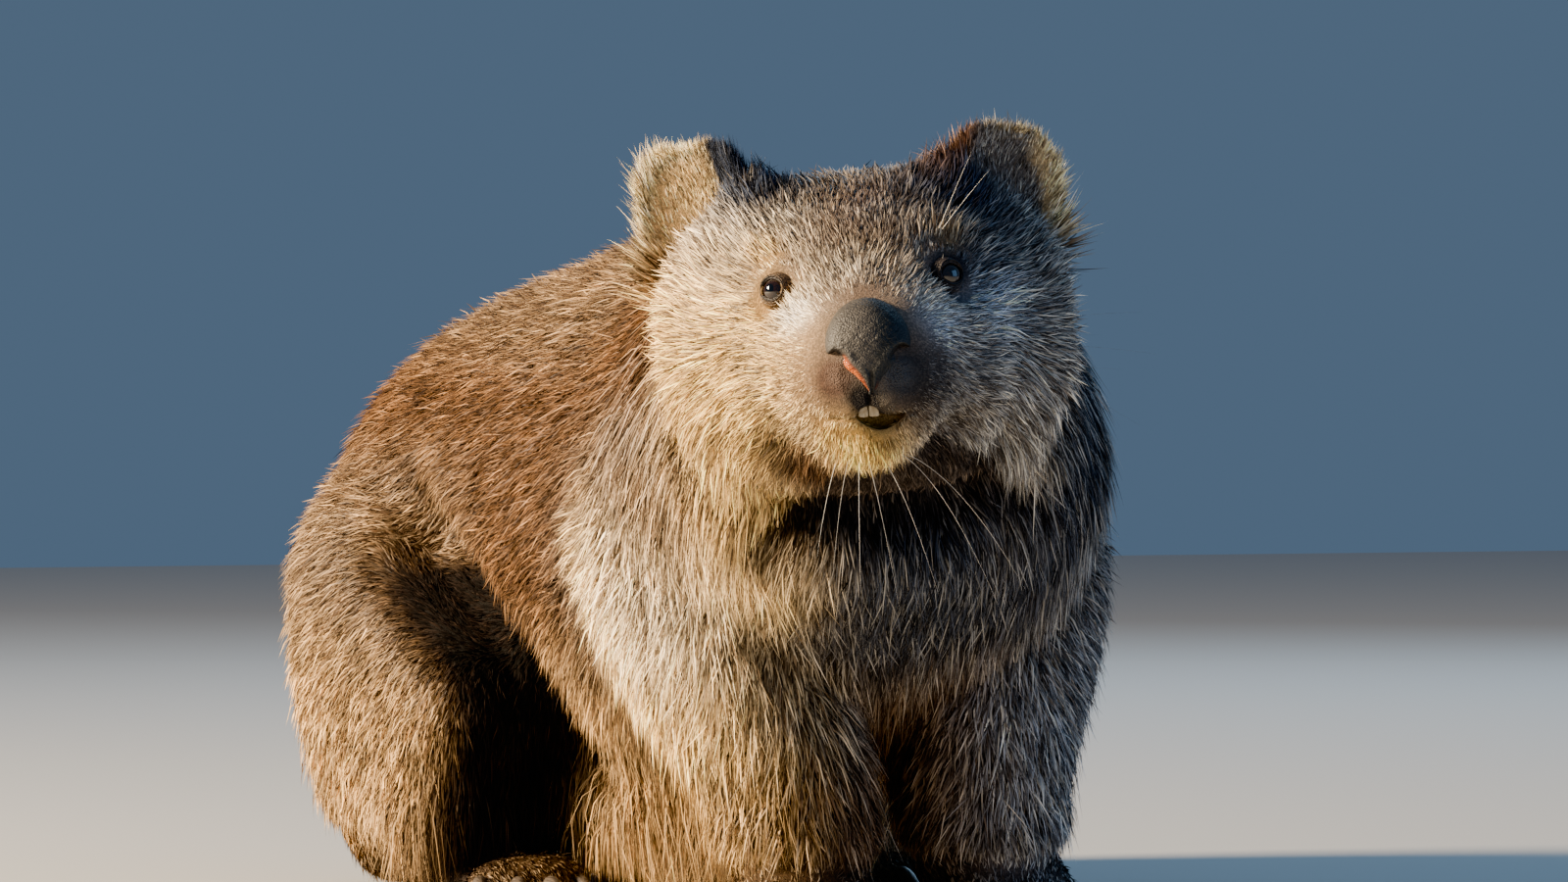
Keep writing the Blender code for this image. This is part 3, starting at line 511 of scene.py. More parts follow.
# The fold of loose skin before each haunch: height and place along, its depth and its reach
FOLD = ((0.030, 0.100), (0.063, 0.071), (0.085, 0.055), (0.106, 0.050), (0.127, 0.053), (0.147, 0.064), (0.165, 0.086), (0.183, 0.110), (0.202, 0.138))
FOLD_DEPTH, FOLD_REACH, STEP_DEPTH = 0.027, 0.020, 0.014


def fold_share(points, reach=FOLD_REACH, behind=0.0, power=2):
    """1 in the fold before the haunch, falling off as exp of minus a power of the distance over the
    reach, and 0 toward the belly and the back."""
    table = np.array(FOLD) + [0, behind]
    height = np.linspace(table[0, 0], table[-1, 0], 60)
    along = through(table[:, 0], table[:, 1], height)
    apart = np.sqrt(((points[:, 1:2] - along) ** 2 + (points[:, 2:3] - height) ** 2).min(1))
    return np.exp(-((apart / reach) ** power)) * soft((np.abs(points[:, 0]) - 0.05) / 0.03)


def step_share(points):
    """1 just ahead of the fold, where the flank lies lower than the haunch, falling off forwards."""
    table = np.array(FOLD)
    ahead = through(table[:, 0], table[:, 1], np.clip(points[:, 2], table[0, 0], table[-1, 0])) - points[:, 1]
    level = soft((0.225 - points[:, 2]) / 0.04) * soft((points[:, 2] - 0.04) / 0.03)
    return soft(ahead / 0.012) * np.exp(-((ahead / 0.055) ** 2)) * level * soft((np.abs(points[:, 0]) - 0.05) / 0.03)


# Top of the throat's shade, seen from the front in millimetres in the head's frame: across, up
THROAT_TOP = ((-90, -90), (-52, -80), (-26, -63), (-8, -58), (10, -55), (23, -45), (50, -53), (91, -70), (115, -78))


def throat_share(points):
    """1 under the jaw and on the throat behind it, and 0 on the chin, the cheeks and the chest."""
    h = in_head(points) * 1000
    table = np.array(THROAT_TOP)
    top = np.interp(h[:, 0], table[:, 0], table[:, 1])
    low = soft((top - h[:, 2]) / 7 + 0.5) * soft((h[:, 2] + 114) / 40)
    return low * soft((h[:, 1] - 22) / 18) * soft((214 - h[:, 1]) / 40) * soft((h[:, 0] + 84) / 26) * soft((114 - h[:, 0]) / 24)


points, normals = points_of(skin.data), normals_of(skin.data)
behind = soft((in_head(points)[:, 1] - 0.11) / 0.02)
inward = FOLD_DEPTH * fold_share(points) + STEP_DEPTH * step_share(points) + 0.014 * throat_share(points) * behind
put_points(skin.data, points - normals * inward[:, None])

# Distance from the middle of the muzzle within which the mesh is cut once more
MUZZLE = np.array([-0.001, 0.012, -0.012])
for reach in (0.105, 0.060, 0.036):
    near = np.linalg.norm(in_head(points_of(skin.data)) - MUZZLE, axis=1) < reach
    cut_finer(skin, near)
    near = np.linalg.norm(in_head(points_of(skin.data)) - MUZZLE, axis=1) < reach
    put_points(skin.data, relaxed(points_of(skin.data), edges_of(skin.data), 0.5 * near, 3))

head_form = piece_of("head_form", *head_shell)
wrap = skin.modifiers.new("wrap", "SHRINKWRAP")
wrap.target = head_form
h = in_head(points_of(skin.data))
on_front = soft((0.115 - h[:, 1]) / 0.04) * soft((0.5 - np.abs(h[:, 0])) / 0.1)
group = skin.vertex_groups.new(name="front")
for level in range(1, 11):
    group.add(np.flatnonzero(np.ceil(on_front * 10) == level).tolist(), level / 10, "REPLACE")
wrap.vertex_group = "front"
settle(skin)
skin.vertex_groups.clear()
bpy.data.objects.remove(head_form)

# Soft forms of the head, in millimetres: the hollows between jaw and ruff, and the thick hide that
# bridges the crown and each ear. Across, back, up, reach, height
HEAD_SWELLS = (
    (-47, 50, -50, 17, -6),
    (40, 44, -52, 17, -10),
    (66, 76, -60, 17, -7),
    (-54, 118, 80, 17, 8),
    (50, 116, 78, 17, 7),
)
points, normals = points_of(skin.data), normals_of(skin.data)
h = in_head(points) * 1000
for across, along, up_by, reach, height in HEAD_SWELLS:
    apart = (h[:, 0] - across) ** 2 + (h[:, 1] - along) ** 2 + (h[:, 2] - up_by) ** 2
    points = points + normals * (height / 1000 * np.exp(-apart / reach**2))[:, None]
put_points(skin.data, points)


# Ears: thin dished plates of gristle under the hide, wide and flat-topped, turned outwards
EAR_HALF_WIDTH, EAR_HALF_HEIGHT = 0.034, 0.051
EAR_THICKNESS = 0.0036
EAR_CUP_DEPTH = 0.016
EAR_TAPER, EAR_POWER = 0.03, 3.2
EAR_SHRINK = 0.93
EAR_TURN_OUT, EAR_LEAN_BACK = math.radians(28), math.radians(-4)
# Side, place across, back and up in the head's frame, lean outwards
EARS = {"left": (1, 0.075, 0.132, 0.052, 9), "right": (-1, 0.078, 0.132, 0.055, 8)}


def ear_place(word):
    side, across, back, up, lean = EARS[word]
    return np.array(
        head_place
        @ Matrix.Translation((side * across, back, up))
        @ Matrix.Rotation(side * math.radians(lean), 4, "Y")
        @ Matrix.Rotation(side * EAR_TURN_OUT, 4, "Z")
        @ Matrix.Rotation(EAR_LEAN_BACK, 4, "X")
    )


def ear_shell(word):
    """Superellipse rings that grow from the middle of the cup to the rim and shrink down the back;
    the plate dishes by the square of its share of the way to the rim."""
    x_rim, z_rim = outline(72, 1, 1, 1, EAR_POWER, EAR_POWER)
    rise = np.linspace(0.06, 1, 20)
    shares = np.concatenate([rise, rise[-2::-1]])
    layers = np.sqrt(1 - np.clip((rise - 0.86) / 0.14, 0, 1) ** 2)
    layers = np.concatenate([layers, -layers[-2::-1]])
    rings = []
    for share, layer in zip(shares, layers):
        share = share * EAR_SHRINK
        x = EAR_HALF_WIDTH * share * x_rim * (1 - EAR_TAPER * z_rim * share)
        y = EAR_CUP_DEPTH * (1 - share**2) - layer * EAR_THICKNESS / 2
        rings.append(np.stack([x, y + 0 * x, EAR_HALF_HEIGHT * share * z_rim], 1))
    tips = [np.array((0, EAR_CUP_DEPTH - layer * EAR_THICKNESS / 2, 0)) for layer in (1, -1)]
    place = ear_place(word)
    points, faces = shell(np.array(rings), *tips)
    return points @ place[:3, :3].T + place[:3, 3], faces


def in_ear(points, word):
    """Points in an ear's own frame, and their share of the way from its middle to its rim."""
    place = ear_place(word)
    local = (points - place[:3, 3]) @ place[:3, :3]
    power = EAR_POWER
    out = np.abs(local[:, 0] / EAR_HALF_WIDTH) ** power + np.abs(local[:, 2] / EAR_HALF_HEIGHT) ** power
    return local, out ** (1 / power) / EAR_SHRINK


def share_of_ear(points, word):
    """1 on the ear's plate and 0 off it, by the distance from its dished middle surface."""
    local, out = in_ear(points, word)
    off = np.abs(local[:, 1] - EAR_CUP_DEPTH * (1 - np.minimum(out * EAR_SHRINK, 1) ** 2))
    return soft((1.16 - out) / 0.08) * soft((0.0070 - off) / 0.0035) * soft((local[:, 2] + 0.012) / 0.012)


# Lids: distance from the eye's axis and height over its centre, from the rim out into the face
LID_PROFILE = (
    (0.00, 0.0054, 0.0048),
    (0.12, 0.0053, 0.0060),
    (0.26, 0.0057, 0.0066),
    (0.42, 0.0064, 0.0065),
    (0.60, 0.0072, 0.0058),
    (0.78, 0.0081, 0.0047),
    (0.90, 0.0088, 0.0036),
    (1.00, 0.0095, 0.0020),
)


def eye_frame(word):
    """Centre of the eye, and the axes across it, up it and straight out of it."""
    low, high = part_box("eye_" + word)
    centre = np.array((low + high) / 2)
    side = 1 if word == "left" else -1
    out = head_turned @ np.array([side * 0.52, -0.82, 0.24])
    out /= np.linalg.norm(out)
    across = np.cross(out, head_turned[:, 2])
    across /= np.linalg.norm(across)
    return centre, across, np.cross(across, out), out


# The hide round each eye is drawn up to the foot of its lids, and in behind the ball.
for word in ("left", "right"):
    centre, across, up, forward = eye_frame(word)
    for reach in (0.021, 0.016):
        cut_finer(skin, np.linalg.norm(points_of(skin.data) - centre, axis=1) < reach)
    points = points_of(skin.data)
    apart = points - centre
    height = apart @ forward
    far = np.linalg.norm(apart - height[:, None] * forward, axis=1)
    table = np.array(LID_PROFILE)[1:]
    foot = through(table[:, 1], table[:, 2], far) - 0.0004
    wanted = np.where(far < 0.0056, -0.001, foot)
    share = soft((0.0185 - far) / 0.0075) * (np.linalg.norm(apart, axis=1) < 0.024)
    put_points(skin.data, points + ((wanted - height) * share)[:, None] * forward)

# Muzzle, in millimetres in the head's frame: the lips part along a level line, and gape before the
# teeth in a crescent, flat above and round below. The middle line lies a little to the right.
MIDDLE = -2.0
LIP_LINE = -37.0
LIP_REACH = 25.0
GAPE_MIDDLE, GAPE_HALF = 3.4, 12.4
GAPE_TOP, GAPE_DEPTH = -36.8, 6.4
# Soft forms of the muzzle: across from the middle, back, up, reach, height
MUZZLE_FORMS = (
    (14.0, 4.0, -20.0, 9.0, 0.2),
    (23.0, 12.0, -14.0, 8.0, 1.0),
    (10.0, 8.0, -33.0, 6.0, 1.2),
    (0.0, 17.0, -50.0, 9.0, 2.6),
    (24.0, 16.0, -37.0, 5.0, -1.0),
    (0.0, 30.0, 24.0, 9.0, 0.8),
)


def gape_share(x, z):
    """1 inside the open mouth, 0 outside: z lies under an edge that arches up before the teeth, and
    over one that hangs in a crescent."""
    across = (x - GAPE_MIDDLE) / GAPE_HALF
    top = GAPE_TOP + 4.8 * np.exp(-(((x + 2.6) / 5.4) ** 4))
    low = GAPE_TOP - GAPE_DEPTH * (1 - across**2)
    inside = np.minimum(top - z, z - low)
    return soft(inside / 0.9 + 0.3) * (np.abs(across) < 1)


def muzzle_relief(points, normals):
    """The skin moved along its normals by soft forms, grooves under the nose and along the lips, and
    the mouth pushed back. Each form is a height times exp of minus its squared distance over reach."""
    h = in_head(points) * 1000
    x, y, z = h[:, 0] - MIDDLE, h[:, 1], h[:, 2]
    front = soft((60 - y) / 20)
    rise = np.zeros(len(h))
    for across, along, up_by, reach, height in MUZZLE_FORMS:
        for side in (-1, 1) if across else (1,):
            apart = (x - side * across) ** 2 + (y - along) ** 2 + (z - up_by) ** 2
            rise += height * np.exp(-apart / reach**2)
    rise -= 1.5 * np.exp(-((x / 1.0) ** 2)) * soft((z + 39) / 2) * soft((-25 - z) / 2)
    line = LIP_LINE + 1.2 * (np.abs(x) / LIP_REACH) ** 2
    rise -= 1.5 * np.exp(-(((z - line) / 0.9) ** 2)) * soft((LIP_REACH - np.abs(x)) / 5)
    rise += 0.3 * np.exp(-(((z - line + 2.4) / 1.6) ** 2)) * soft((LIP_REACH - 8 - np.abs(x)) / 6)
    crow = np.sin(0.9 * (z + 0.25 * y)) * soft((26 - np.abs(x)) / 6) * soft((np.abs(x) - 6) / 5)
    rise += 0.10 * crow * soft((z + 36) / 8) * soft((0 - z) / 8)
    moved = points + normals * (rise * front / 1000)[:, None]
    back = 9.0 * gape_share(h[:, 0], z) * (y < 40) / 1000
    return moved + back[:, None] * head_turned[:, 1]


put_points(skin.data, muzzle_relief(points_of(skin.data), normals_of(skin.data)))

for word in EARS:
    ear = piece_of("ear_form", *ear_shell(word))
    union = skin.modifiers.new("union", "BOOLEAN")
    union.object = ear
    union.operation = "UNION"
    settle(skin)
    bpy.data.objects.remove(ear)
shape = bmesh.new()
shape.from_mesh(skin.data)
bmesh.ops.triangulate(shape, faces=[face for face in shape.faces if len(face.verts) > 4])
shape.to_mesh(skin.data)
shape.free()
points = points_of(skin.data)
base = np.zeros(len(points))
for word in EARS:
    local, out = in_ear(points, word)
    level = soft((0.016 - np.abs(local[:, 2] - 0.022 + 0.35 * np.abs(local[:, 0]))) / 0.010)
    base = np.maximum(base, level * (out < 1.3) * (np.abs(local[:, 1] - 0.012) < 0.02))
put_points(skin.data, relaxed(points, edges_of(skin.data), 0.35 * base, 6))
skin.data.shade_smooth()
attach(skin, "root")
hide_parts("torso", "neck", "tail", "head", "ear_left", "ear_right")
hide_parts(*(f"{k}{part}_{side}" for k in ("fore", "hind") for part in ("leg", "foot") for side in ("left", "right")))

# Colours of the coat and of the bare skin about the mouth, and of the light and shade painted on them
BROWN, RUSSET = (0.076, 0.033, 0.008), (0.130, 0.055, 0.018)
FAWN, TAN = (0.150, 0.096, 0.050), (0.50, 0.33, 0.145)
SILVER, CREAM, GOLD = (0.36, 0.32, 0.27), (0.62, 0.42, 0.145), (0.98, 0.66, 0.20)
# The dark brown is the crown's, and is also painted as shade under the jaw, on the throat, on the left ear and near the
# floor. The blue-black is painted shade on the far side of the crown, between the right ear and the crown, round the
# left eye and in the ears. The white is also a painted highlight on the right shoulder.
DUSK, BLUE_BLACK, WHITE = (0.036, 0.026, 0.021), (0.024, 0.032, 0.056), (0.92, 0.88, 0.78)
# The slate is painted on the far side, away from the lamp, as its shade; the dark grey-blue is painted shade on the
# chest and the far side of the muzzle; the near black is painted shade in the throat and in the fold before each
# haunch.
SLATE, CHARCOAL, SHADE_BLACK = (0.185, 0.205, 0.230), (0.027, 0.033, 0.048), (0.008, 0.005, 0.004)
# The pale blue is silver fur painted as the cool light on the far side; the pale gold is painted as the lamp's light in
# the right ear and on the ear rims.
COOL_LIT_SILVER, BUTTER = (0.50, 0.58, 0.72), (1.0, 0.84, 0.50)
# After the mauve of the lips: a blue-grey painted as the shade on the left lip, and dark bare skin painted darker as
# the shade under the nose and in the open mouth.
MAUVE, BLUE_GREY, DARK_SKIN_AND_SHADE = (0.150, 0.092, 0.064), (0.056, 0.062, 0.073), (0.020, 0.017, 0.016)


def unit(vectors):
    return vectors / np.maximum(np.linalg.norm(vectors, axis=1), 1e-9)[:, None]


def along_spine(points):
    """Distance from the rump of the nearest of 300 places on the spine, and the heading there."""
    at = np.linspace(0, SPINE_LENGTH, 300)
    x, y, heading = spine(at)
    apart = (points[:, :1] - x) ** 2 + (points[:, 1:2] - y) ** 2
    nearest = apart.argmin(1)
    return at[nearest], heading[nearest]


def share_of_head(points):
    """1 on the head and 0 on the neck behind and below it, changing softly at the ruff."""
    h = in_head(points)
    return soft((0.205 - h[:, 1]) / 0.07) * soft((h[:, 2] + 0.125) / 0.05)


def spot(h, x, y, z, reach):
    """A soft round patch in the head's frame, in millimetres: exp of minus the squared distance over
    its squared reach."""
    return np.exp(-((h[:, 0] * 1000 - x) ** 2 + (h[:, 1] * 1000 - y) ** 2 + (h[:, 2] * 1000 - z) ** 2) / reach**2)


def plate(h, x, z, reach):
    """A soft round patch seen from the front, however deep."""
    return np.exp(-((h[:, 0] * 1000 - x) ** 2 + (h[:, 2] * 1000 - z) ** 2) / reach**2)


def colour_of(points, at):
    """The markings: grey-brown, redder over the back, silvery on the face and chest, a dark crown and
    ear base, pale rings over the eyes, a golden chin, and bare skin between the nose and the lips.
    With them light and shade are painted in: cream on the lamp side of the face, body and right ear,
    slate and cool blue on the far side, painted highlights on the right shoulder and the ear rims,
    and painted shade under the jaw, on the throat and chest, in the fold before each haunch, on the
    left ear, round the nose and mouth, and near the floor."""
    h = in_head(points)
    head = soft((0.225 - h[:, 1]) / 0.11) * soft((h[:, 2] + 0.125) / 0.05)
    z = points[:, 2]
    made = np.tile(np.array(BROWN), (len(points), 1))

    def toward(colour, share):
        made[:] = made + (np.array(colour) - made) * np.clip(share, 0, 1)[:, None]

    toward(FAWN, 0.85 * soft((z - 0.265) / 0.06) * soft((0.50 - at) / 0.12))
    toward(FAWN, soft((z - 0.10) / 0.06) * soft((0.27 - z) / 0.08) * soft((0.38 - at) / 0.14))
    toward(TAN, 0.62 * soft((0.18 - z) / 0.10) * soft((at - 0.06) / 0.05) * soft((0.50 - at) / 0.08))
    toward(SILVER, 0.60 * soft((at - 0.50) / 0.10) * soft((0.29 - z) / 0.08))
    # Painted light and shade on the body: cream low on the front of the right side, which faces the lamp, and slate
    # over the left side, away from it.
    toward(CREAM, 0.95 * soft((0.25 - z) / 0.08) * soft((at - 0.46) / 0.06) * soft((-0.02 - points[:, 0]) / 0.05))
    toward(SLATE, 0.70 * soft((at - 0.34) / 0.20) * soft((points[:, 0] - 0.02) / 0.07))
    # The chest, painted dark grey-blue as the shade it lies in.
    toward(CHARCOAL, 0.95 * soft((at - 0.53) / 0.06) * soft((0.118 - np.abs(points[:, 0] - 0.012)) / 0.05) * soft((z - 0.07) / 0.05))
    toward(BROWN, 0.75 * soft((at - 0.46) / 0.06) * soft((0.115 - z) / 0.04) * soft((0.02 - points[:, 0]) / 0.04))
    # A cool blue painted low on the left front as its shade.
    toward(COOL_LIT_SILVER, 0.15 * soft((at - 0.47) / 0.05) * soft((points[:, 0] - 0.035) / 0.03) * soft((0.17 - z) / 0.06))
    # A painted highlight on the right shoulder, where the lamp catches it.
    toward(WHITE, 0.50 * np.exp(-((points - [-0.118, -0.130, 0.172]) ** 2).sum(1) / 0.050**2))
    toward(SILVER, 0.92 * head)
    # The side of the face toward the lamp is painted cream as its light, and the far side slate as its shade.
    painted_lit_side = head * soft((-0.008 - h[:, 0]) / 0.05)
    toward(CREAM, 0.90 * painted_lit_side * soft((0.06 - h[:, 2]) / 0.05))
    toward(SLATE, 0.60 * head * soft((h[:, 0] - 0.012) / 0.03))
    crown = head * soft((h[:, 2] - 0.036) / 0.030) * soft((0.060 - np.abs(h[:, 0] - 0.004)) / 0.045)
    toward(DUSK, 0.72 * crown)
    toward(RUSSET, 0.48 * spot(h, 2, 60, 50, 26) + 0.4 * spot(h, 4, 88, 78, 18))
    toward(SILVER, 0.75 * spot(h, 0, 38, 34, 16) + 0.5 * spot(h, -36, 80, 60, 16))
    toward(WHITE, 0.22 * spot(h, -2, 38, 34, 13) + 0.16 * spot(h, -36, 80, 60, 14))
    toward(SLATE, 0.40 * spot(h, 10, 72, 60, 20))
    toward(TAN, head * (0.60 * spot(h, -104, 130, 20, 34) + 0.45 * spot(h, -98, 110, -30, 26)))
    # Painted shade on the far side of the crown.
    toward(BLUE_BLACK, 1.00 * spot(h, 40, 104, 74, 26) + 0.60 * spot(h, 60, 96, 56, 24))
    toward(RUSSET, 1.10 * spot(h, 46, 116, 96, 18))
    # Painted shade between the right ear and the crown, where the ear's inner edge shades it.
    patch = 1.4 * plate(h, -64, 86, 18) + 1.4 * plate(h, -46, 84, 17) + 0.9 * plate(h, -30, 87, 12)
    toward(BLUE_BLACK, head * patch)
    # On the far side of the face: silver fur painted cool blue as the light there, and painted shade round the left eye
    # and cheek.
    toward(COOL_LIT_SILVER, 0.90 * spot(h, 60, 66, 12, 17) + 0.95 * spot(h, 34, 27, 6, 12))
    toward(DUSK, 0.30 * spot(h, 66, 84, 44, 22))
    toward(BLUE_BLACK, 1.3 * spot(h, 45, 60, 32, 11) + 0.5 * spot(h, 34, 52, 26, 8))
    toward(CREAM, 0.85 * spot(h, -46, 66, 47, 9) + 0.4 * spot(h, 45, 66, 48, 8))
    toward(WHITE, 1.4 * spot(h, -32, 31, 15, 8.5) + 0.45 * spot(h, 30, 33, 14, 10))
    toward(RUSSET, 0.40 * spot(h, 0, 24, 27, 12))
    toward(MAUVE, 0.62 * spot(h, -30, 24, -18, 15))
    # The far side of the muzzle, painted dark as shade.
    toward(CHARCOAL, 0.75 * spot(h, 28, 18, -20, 16))
    toward(CREAM, 0.8 * spot(h, -20, 15, -44, 11))
    # Painted shade under the jaw and beside the chin, brown on the lamp side and dusky on the far side and under the
    # muzzle.
    jaw_shade = soft((h[:, 1] - 0.026) / 0.012)
    toward(BROWN, jaw_shade * (0.85 * plate(h, -37, -54, 11) + 0.85 * plate(h, -24, -64, 11)))
    toward(FAWN, 0.45 * plate(h, -104, -52, 22))
    toward(GOLD, 1.3 * spot(h, -7, 18, -51, 19))
    toward(BROWN, 0.75 * spot(h, -46, 56, -54, 15) + 0.75 * spot(h, -30, 44, -64, 14))
    toward(DUSK, 0.40 * spot(h, -44, 56, -58, 12) + 0.60 * spot(h, 40, 44, -44, 17) + 0.70 * spot(h, 24, 10, -32, 15))
    # Painted shade on the throat under the head, darkest there, and on the flank just ahead of each haunch.
    toward(DUSK, 0.95 * throat_share(points) + 0.45 * step_share(points))
    toward(SHADE_BLACK, 0.45 * throat_share(points))
    bosom = soft((h[:, 1] - 0.11) / 0.05)
    toward(FAWN, soft((h[:, 1] - 0.14) / 0.04) * (0.85 * plate(h, -114, -52, 24) + 0.55 * plate(h, -100, -84, 22)))
    # The chest below the throat and the neck under the left ruff, painted dark as shade.
    toward(CHARCOAL, bosom * (0.9 * plate(h, -2, -104, 34) + 0.9 * plate(h, 34, -112, 34) + 1.1 * plate(h, 100, -72, 22)))
    # The fold before each haunch, painted brown and near black inside as the shade in it, darker on the right.
    toward(BROWN, 0.75 * fold_share(points, 0.040, 0.006, 2) * soft((0.195 - z) / 0.04))
    fold_shade = fold_share(points, 0.031, 0.002, 4) * soft((0.195 - z) / 0.035)
    toward(SHADE_BLACK, fold_shade * np.where(points[:, 0] < 0, 1.5, 0.7))
    toward(MAUVE, 1.5 * spot(h, -18, 3, -17, 11.5))
    # The left lip, painted blue-grey as the shade it lies in, and the skin under the nose and in the open mouth painted
    # darker as shade.
    toward(BLUE_GREY, 1.4 * spot(h, 17, 5, -18, 15))
    toward(DARK_SKIN_AND_SHADE, 1.5 * spot(h, -5, 1, -28, 8) + 1.2 * spot(h, 3, 8, -39, 9))
    # Light and shade painted on the ears: the right ear, toward the lamp, cream with a pale gold lit cup and rim and
    # its inner edge dark as shade; the left ear, away from it, dark and slate as shade, with a thin painted highlight
    # on its rim, pale tufts outside and a russet inner edge.
    for word in EARS:
        local, out = in_ear(points, word)
        flat = share_of_ear(points, word)
        cup = soft((EAR_CUP_DEPTH * (1 - np.minimum(out * EAR_SHRINK, 1) ** 2) - local[:, 1]) / 0.001)
        toward(CREAM if word == "right" else DUSK, 0.75 * flat * (1 - cup))
        toward(CREAM if word == "right" else SLATE, (0.85 if word == "right" else 0.5) * flat * cup)
        toward(BLUE_BLACK, 0.6 * flat * cup * soft(0.6 - out) * (word == "left"))
        toward(BUTTER, 0.50 * flat * cup * (word == "right"))
        away = local[:, 0] * EARS[word][0]
        if word == "right":
            toward(BUTTER, flat * soft((out - 0.80) / 0.10))
            toward(BLUE_BLACK, 1.1 * flat * soft((-0.004 - away) / 0.012))
        else:
            toward(BUTTER, flat * soft((out - 0.93) / 0.05) * soft((away + 0.012) / 0.012))
            toward(BUTTER, flat * soft((out - 0.70) / 0.12) * soft((away - 0.010) / 0.012))
            toward(RUSSET, 0.8 * flat * soft((-0.012 - away) / 0.012))
    # Painted shade low down near the floor, over the feet and the foot of each leg.
    toward(DUSK, 0.70 * soft((0.045 - z) / 0.03))
    return made * (1 + 0.12 * waves(points, 0.06, 3) + 0.12 * waves(points, 0.020, 4))[:, None]


def bare_share(points):
    """1 on the hairless skin round the nostrils and lips and inside the mouth, 0 in the coat."""
    h = in_head(points)
    bare = 1.5 * spot(h, -15, 2, -15, 7.5) + 1.5 * spot(h, 13, 2, -17, 7.5) + 1.5 * spot(h, -2, 2, -28, 8)
    return np.clip(bare + 1.2 * spot(h, 3, 12, -39, 8.5), 0, 1)


def add_colours(mesh, word, colours):
    values = np.ones((len(colours), 4), np.float32)
    values[:, :3] = colours
    mesh.attributes.new(word, "FLOAT_COLOR", "POINT").data.foreach_set("color", values.ravel())


def new_group(name, inputs, outputs):
    """A shader node group with these inputs and outputs, each a name with its socket type."""
    group = bpy.data.node_groups.new(name, "ShaderNodeTree")
    for word, kind in inputs.items():
        group.interface.new_socket(word, in_out="INPUT", socket_type=kind)
    for word, kind in outputs.items():
        group.interface.new_socket(word, in_out="OUTPUT", socket_type=kind)
    return group, group.nodes.new("NodeGroupInput"), group.nodes.new("NodeGroupOutput")


def put(tree, kind, inputs=None, **settings):
    """A node with its settings made and its inputs set or linked."""
    node = tree.nodes.new(kind)
    for word, value in settings.items():
        setattr(node, word, value)
    for where, value in (inputs or {}).items():
        if isinstance(value, bpy.types.NodeSocket):
            tree.links.new(value, node.inputs[where])
        else:
            node.inputs[where].default_value = value
    return node


def sum_of(tree, operation, a, b, clamp=False):
    return put(tree, "ShaderNodeMath", {0: a, 1: b}, operation=operation, use_clamp=clamp).outputs[0]


def ramp(tree, value, low, high):
    """0 below low and 1 above high, soft between."""
    given = {"Value": value, "From Min": low, "From Max": high}
    return put(tree, "ShaderNodeMapRange", given, interpolation_type="SMOOTHSTEP").outputs[0]


def mixed(tree, share, a, b, blend="MIX"):
    """One colour mixed with another."""
    return put(tree, "ShaderNodeMix", {0: share, 6: a, 7: b}, data_type="RGBA", blend_type=blend).outputs[2]


def value_of(tree, word, socket="Fac"):
    return put(tree, "ShaderNodeAttribute", attribute_name=word).outputs[socket]


def noise(tree, scale, detail=3.0, roughness=0.55):
    """Noise in the object's own place, so many bumps to a metre."""
    place = put(tree, "ShaderNodeTexCoord").outputs["Object"]
    given = {"Vector": place, "Scale": scale, "Detail": detail, "Roughness": roughness}
    return put(tree, "ShaderNodeTexNoise", given).outputs["Fac"]


def paint(name, roughness, specular=0.4):
    """A new material, its node tree and its Principled shader."""
    made = bpy.data.materials.new(name)
    made.use_nodes = True
    shader = made.node_tree.nodes["Principled BSDF"]
    shader.inputs["Roughness"].default_value = roughness
    shader.inputs["Specular IOR Level"].default_value = specular
    return made, made.node_tree, shader


def bump(tree, shader, height, distance, strength=1.0):
    made = put(tree, "ShaderNodeBump", {"Height": height, "Distance": distance, "Strength": strength})
    tree.links.new(made.outputs["Normal"], shader.inputs["Normal"])


# Creased skin, used on the hide, the nose and the lids: a height, and a mask of its creases, by which their colour is
# darkened as painted shade
creased, given, out = new_group(
    "creased_skin", {"Scale": "NodeSocketFloat", "Fineness": "NodeSocketFloat"}, {"Height": "NodeSocketFloat", "Crease": "NodeSocketFloat"}
)
place = put(creased, "ShaderNodeTexCoord").outputs["Object"]
cells = put(creased, "ShaderNodeTexVoronoi", {"Vector": place, "Scale": given.outputs["Scale"]}, feature="SMOOTH_F1")
finer = sum_of(creased, "MULTIPLY", given.outputs["Scale"], given.outputs["Fineness"])
grit = put(creased, "ShaderNodeTexNoise", {"Vector": place, "Scale": finer, "Detail": 4.0}).outputs["Fac"]
height = sum_of(creased, "MULTIPLY", ramp(creased, cells.outputs["Distance"], 0.75, 0.15), 0.7)
creased.links.new(sum_of(creased, "ADD", height, sum_of(creased, "MULTIPLY", grit, 0.3)), out.inputs["Height"])
creased.links.new(ramp(creased, cells.outputs["Distance"], 0.35, 0.75), out.inputs["Crease"])


def creases(tree, scale, fineness):
    node = tree.nodes.new("ShaderNodeGroup")
    node.node_tree = creased
    node.inputs["Scale"].default_value = scale
    node.inputs["Fineness"].default_value = fineness
    return node.outputs["Height"], node.outputs["Crease"]


points = points_of(skin.data)
at, _ = along_spine(points)
# The skin and the lids carry the coat's markings together with the light and shade painted into them.
add_colours(skin.data, "marking_and_painted_light", np.clip(colour_of(points, at), 0.008, 1))
add_point_value(skin.data, "bare", bare_share(points))

skin_paint, tree, shader = paint("hide", 0.7, 0.2)
bare = value_of(tree, "bare")
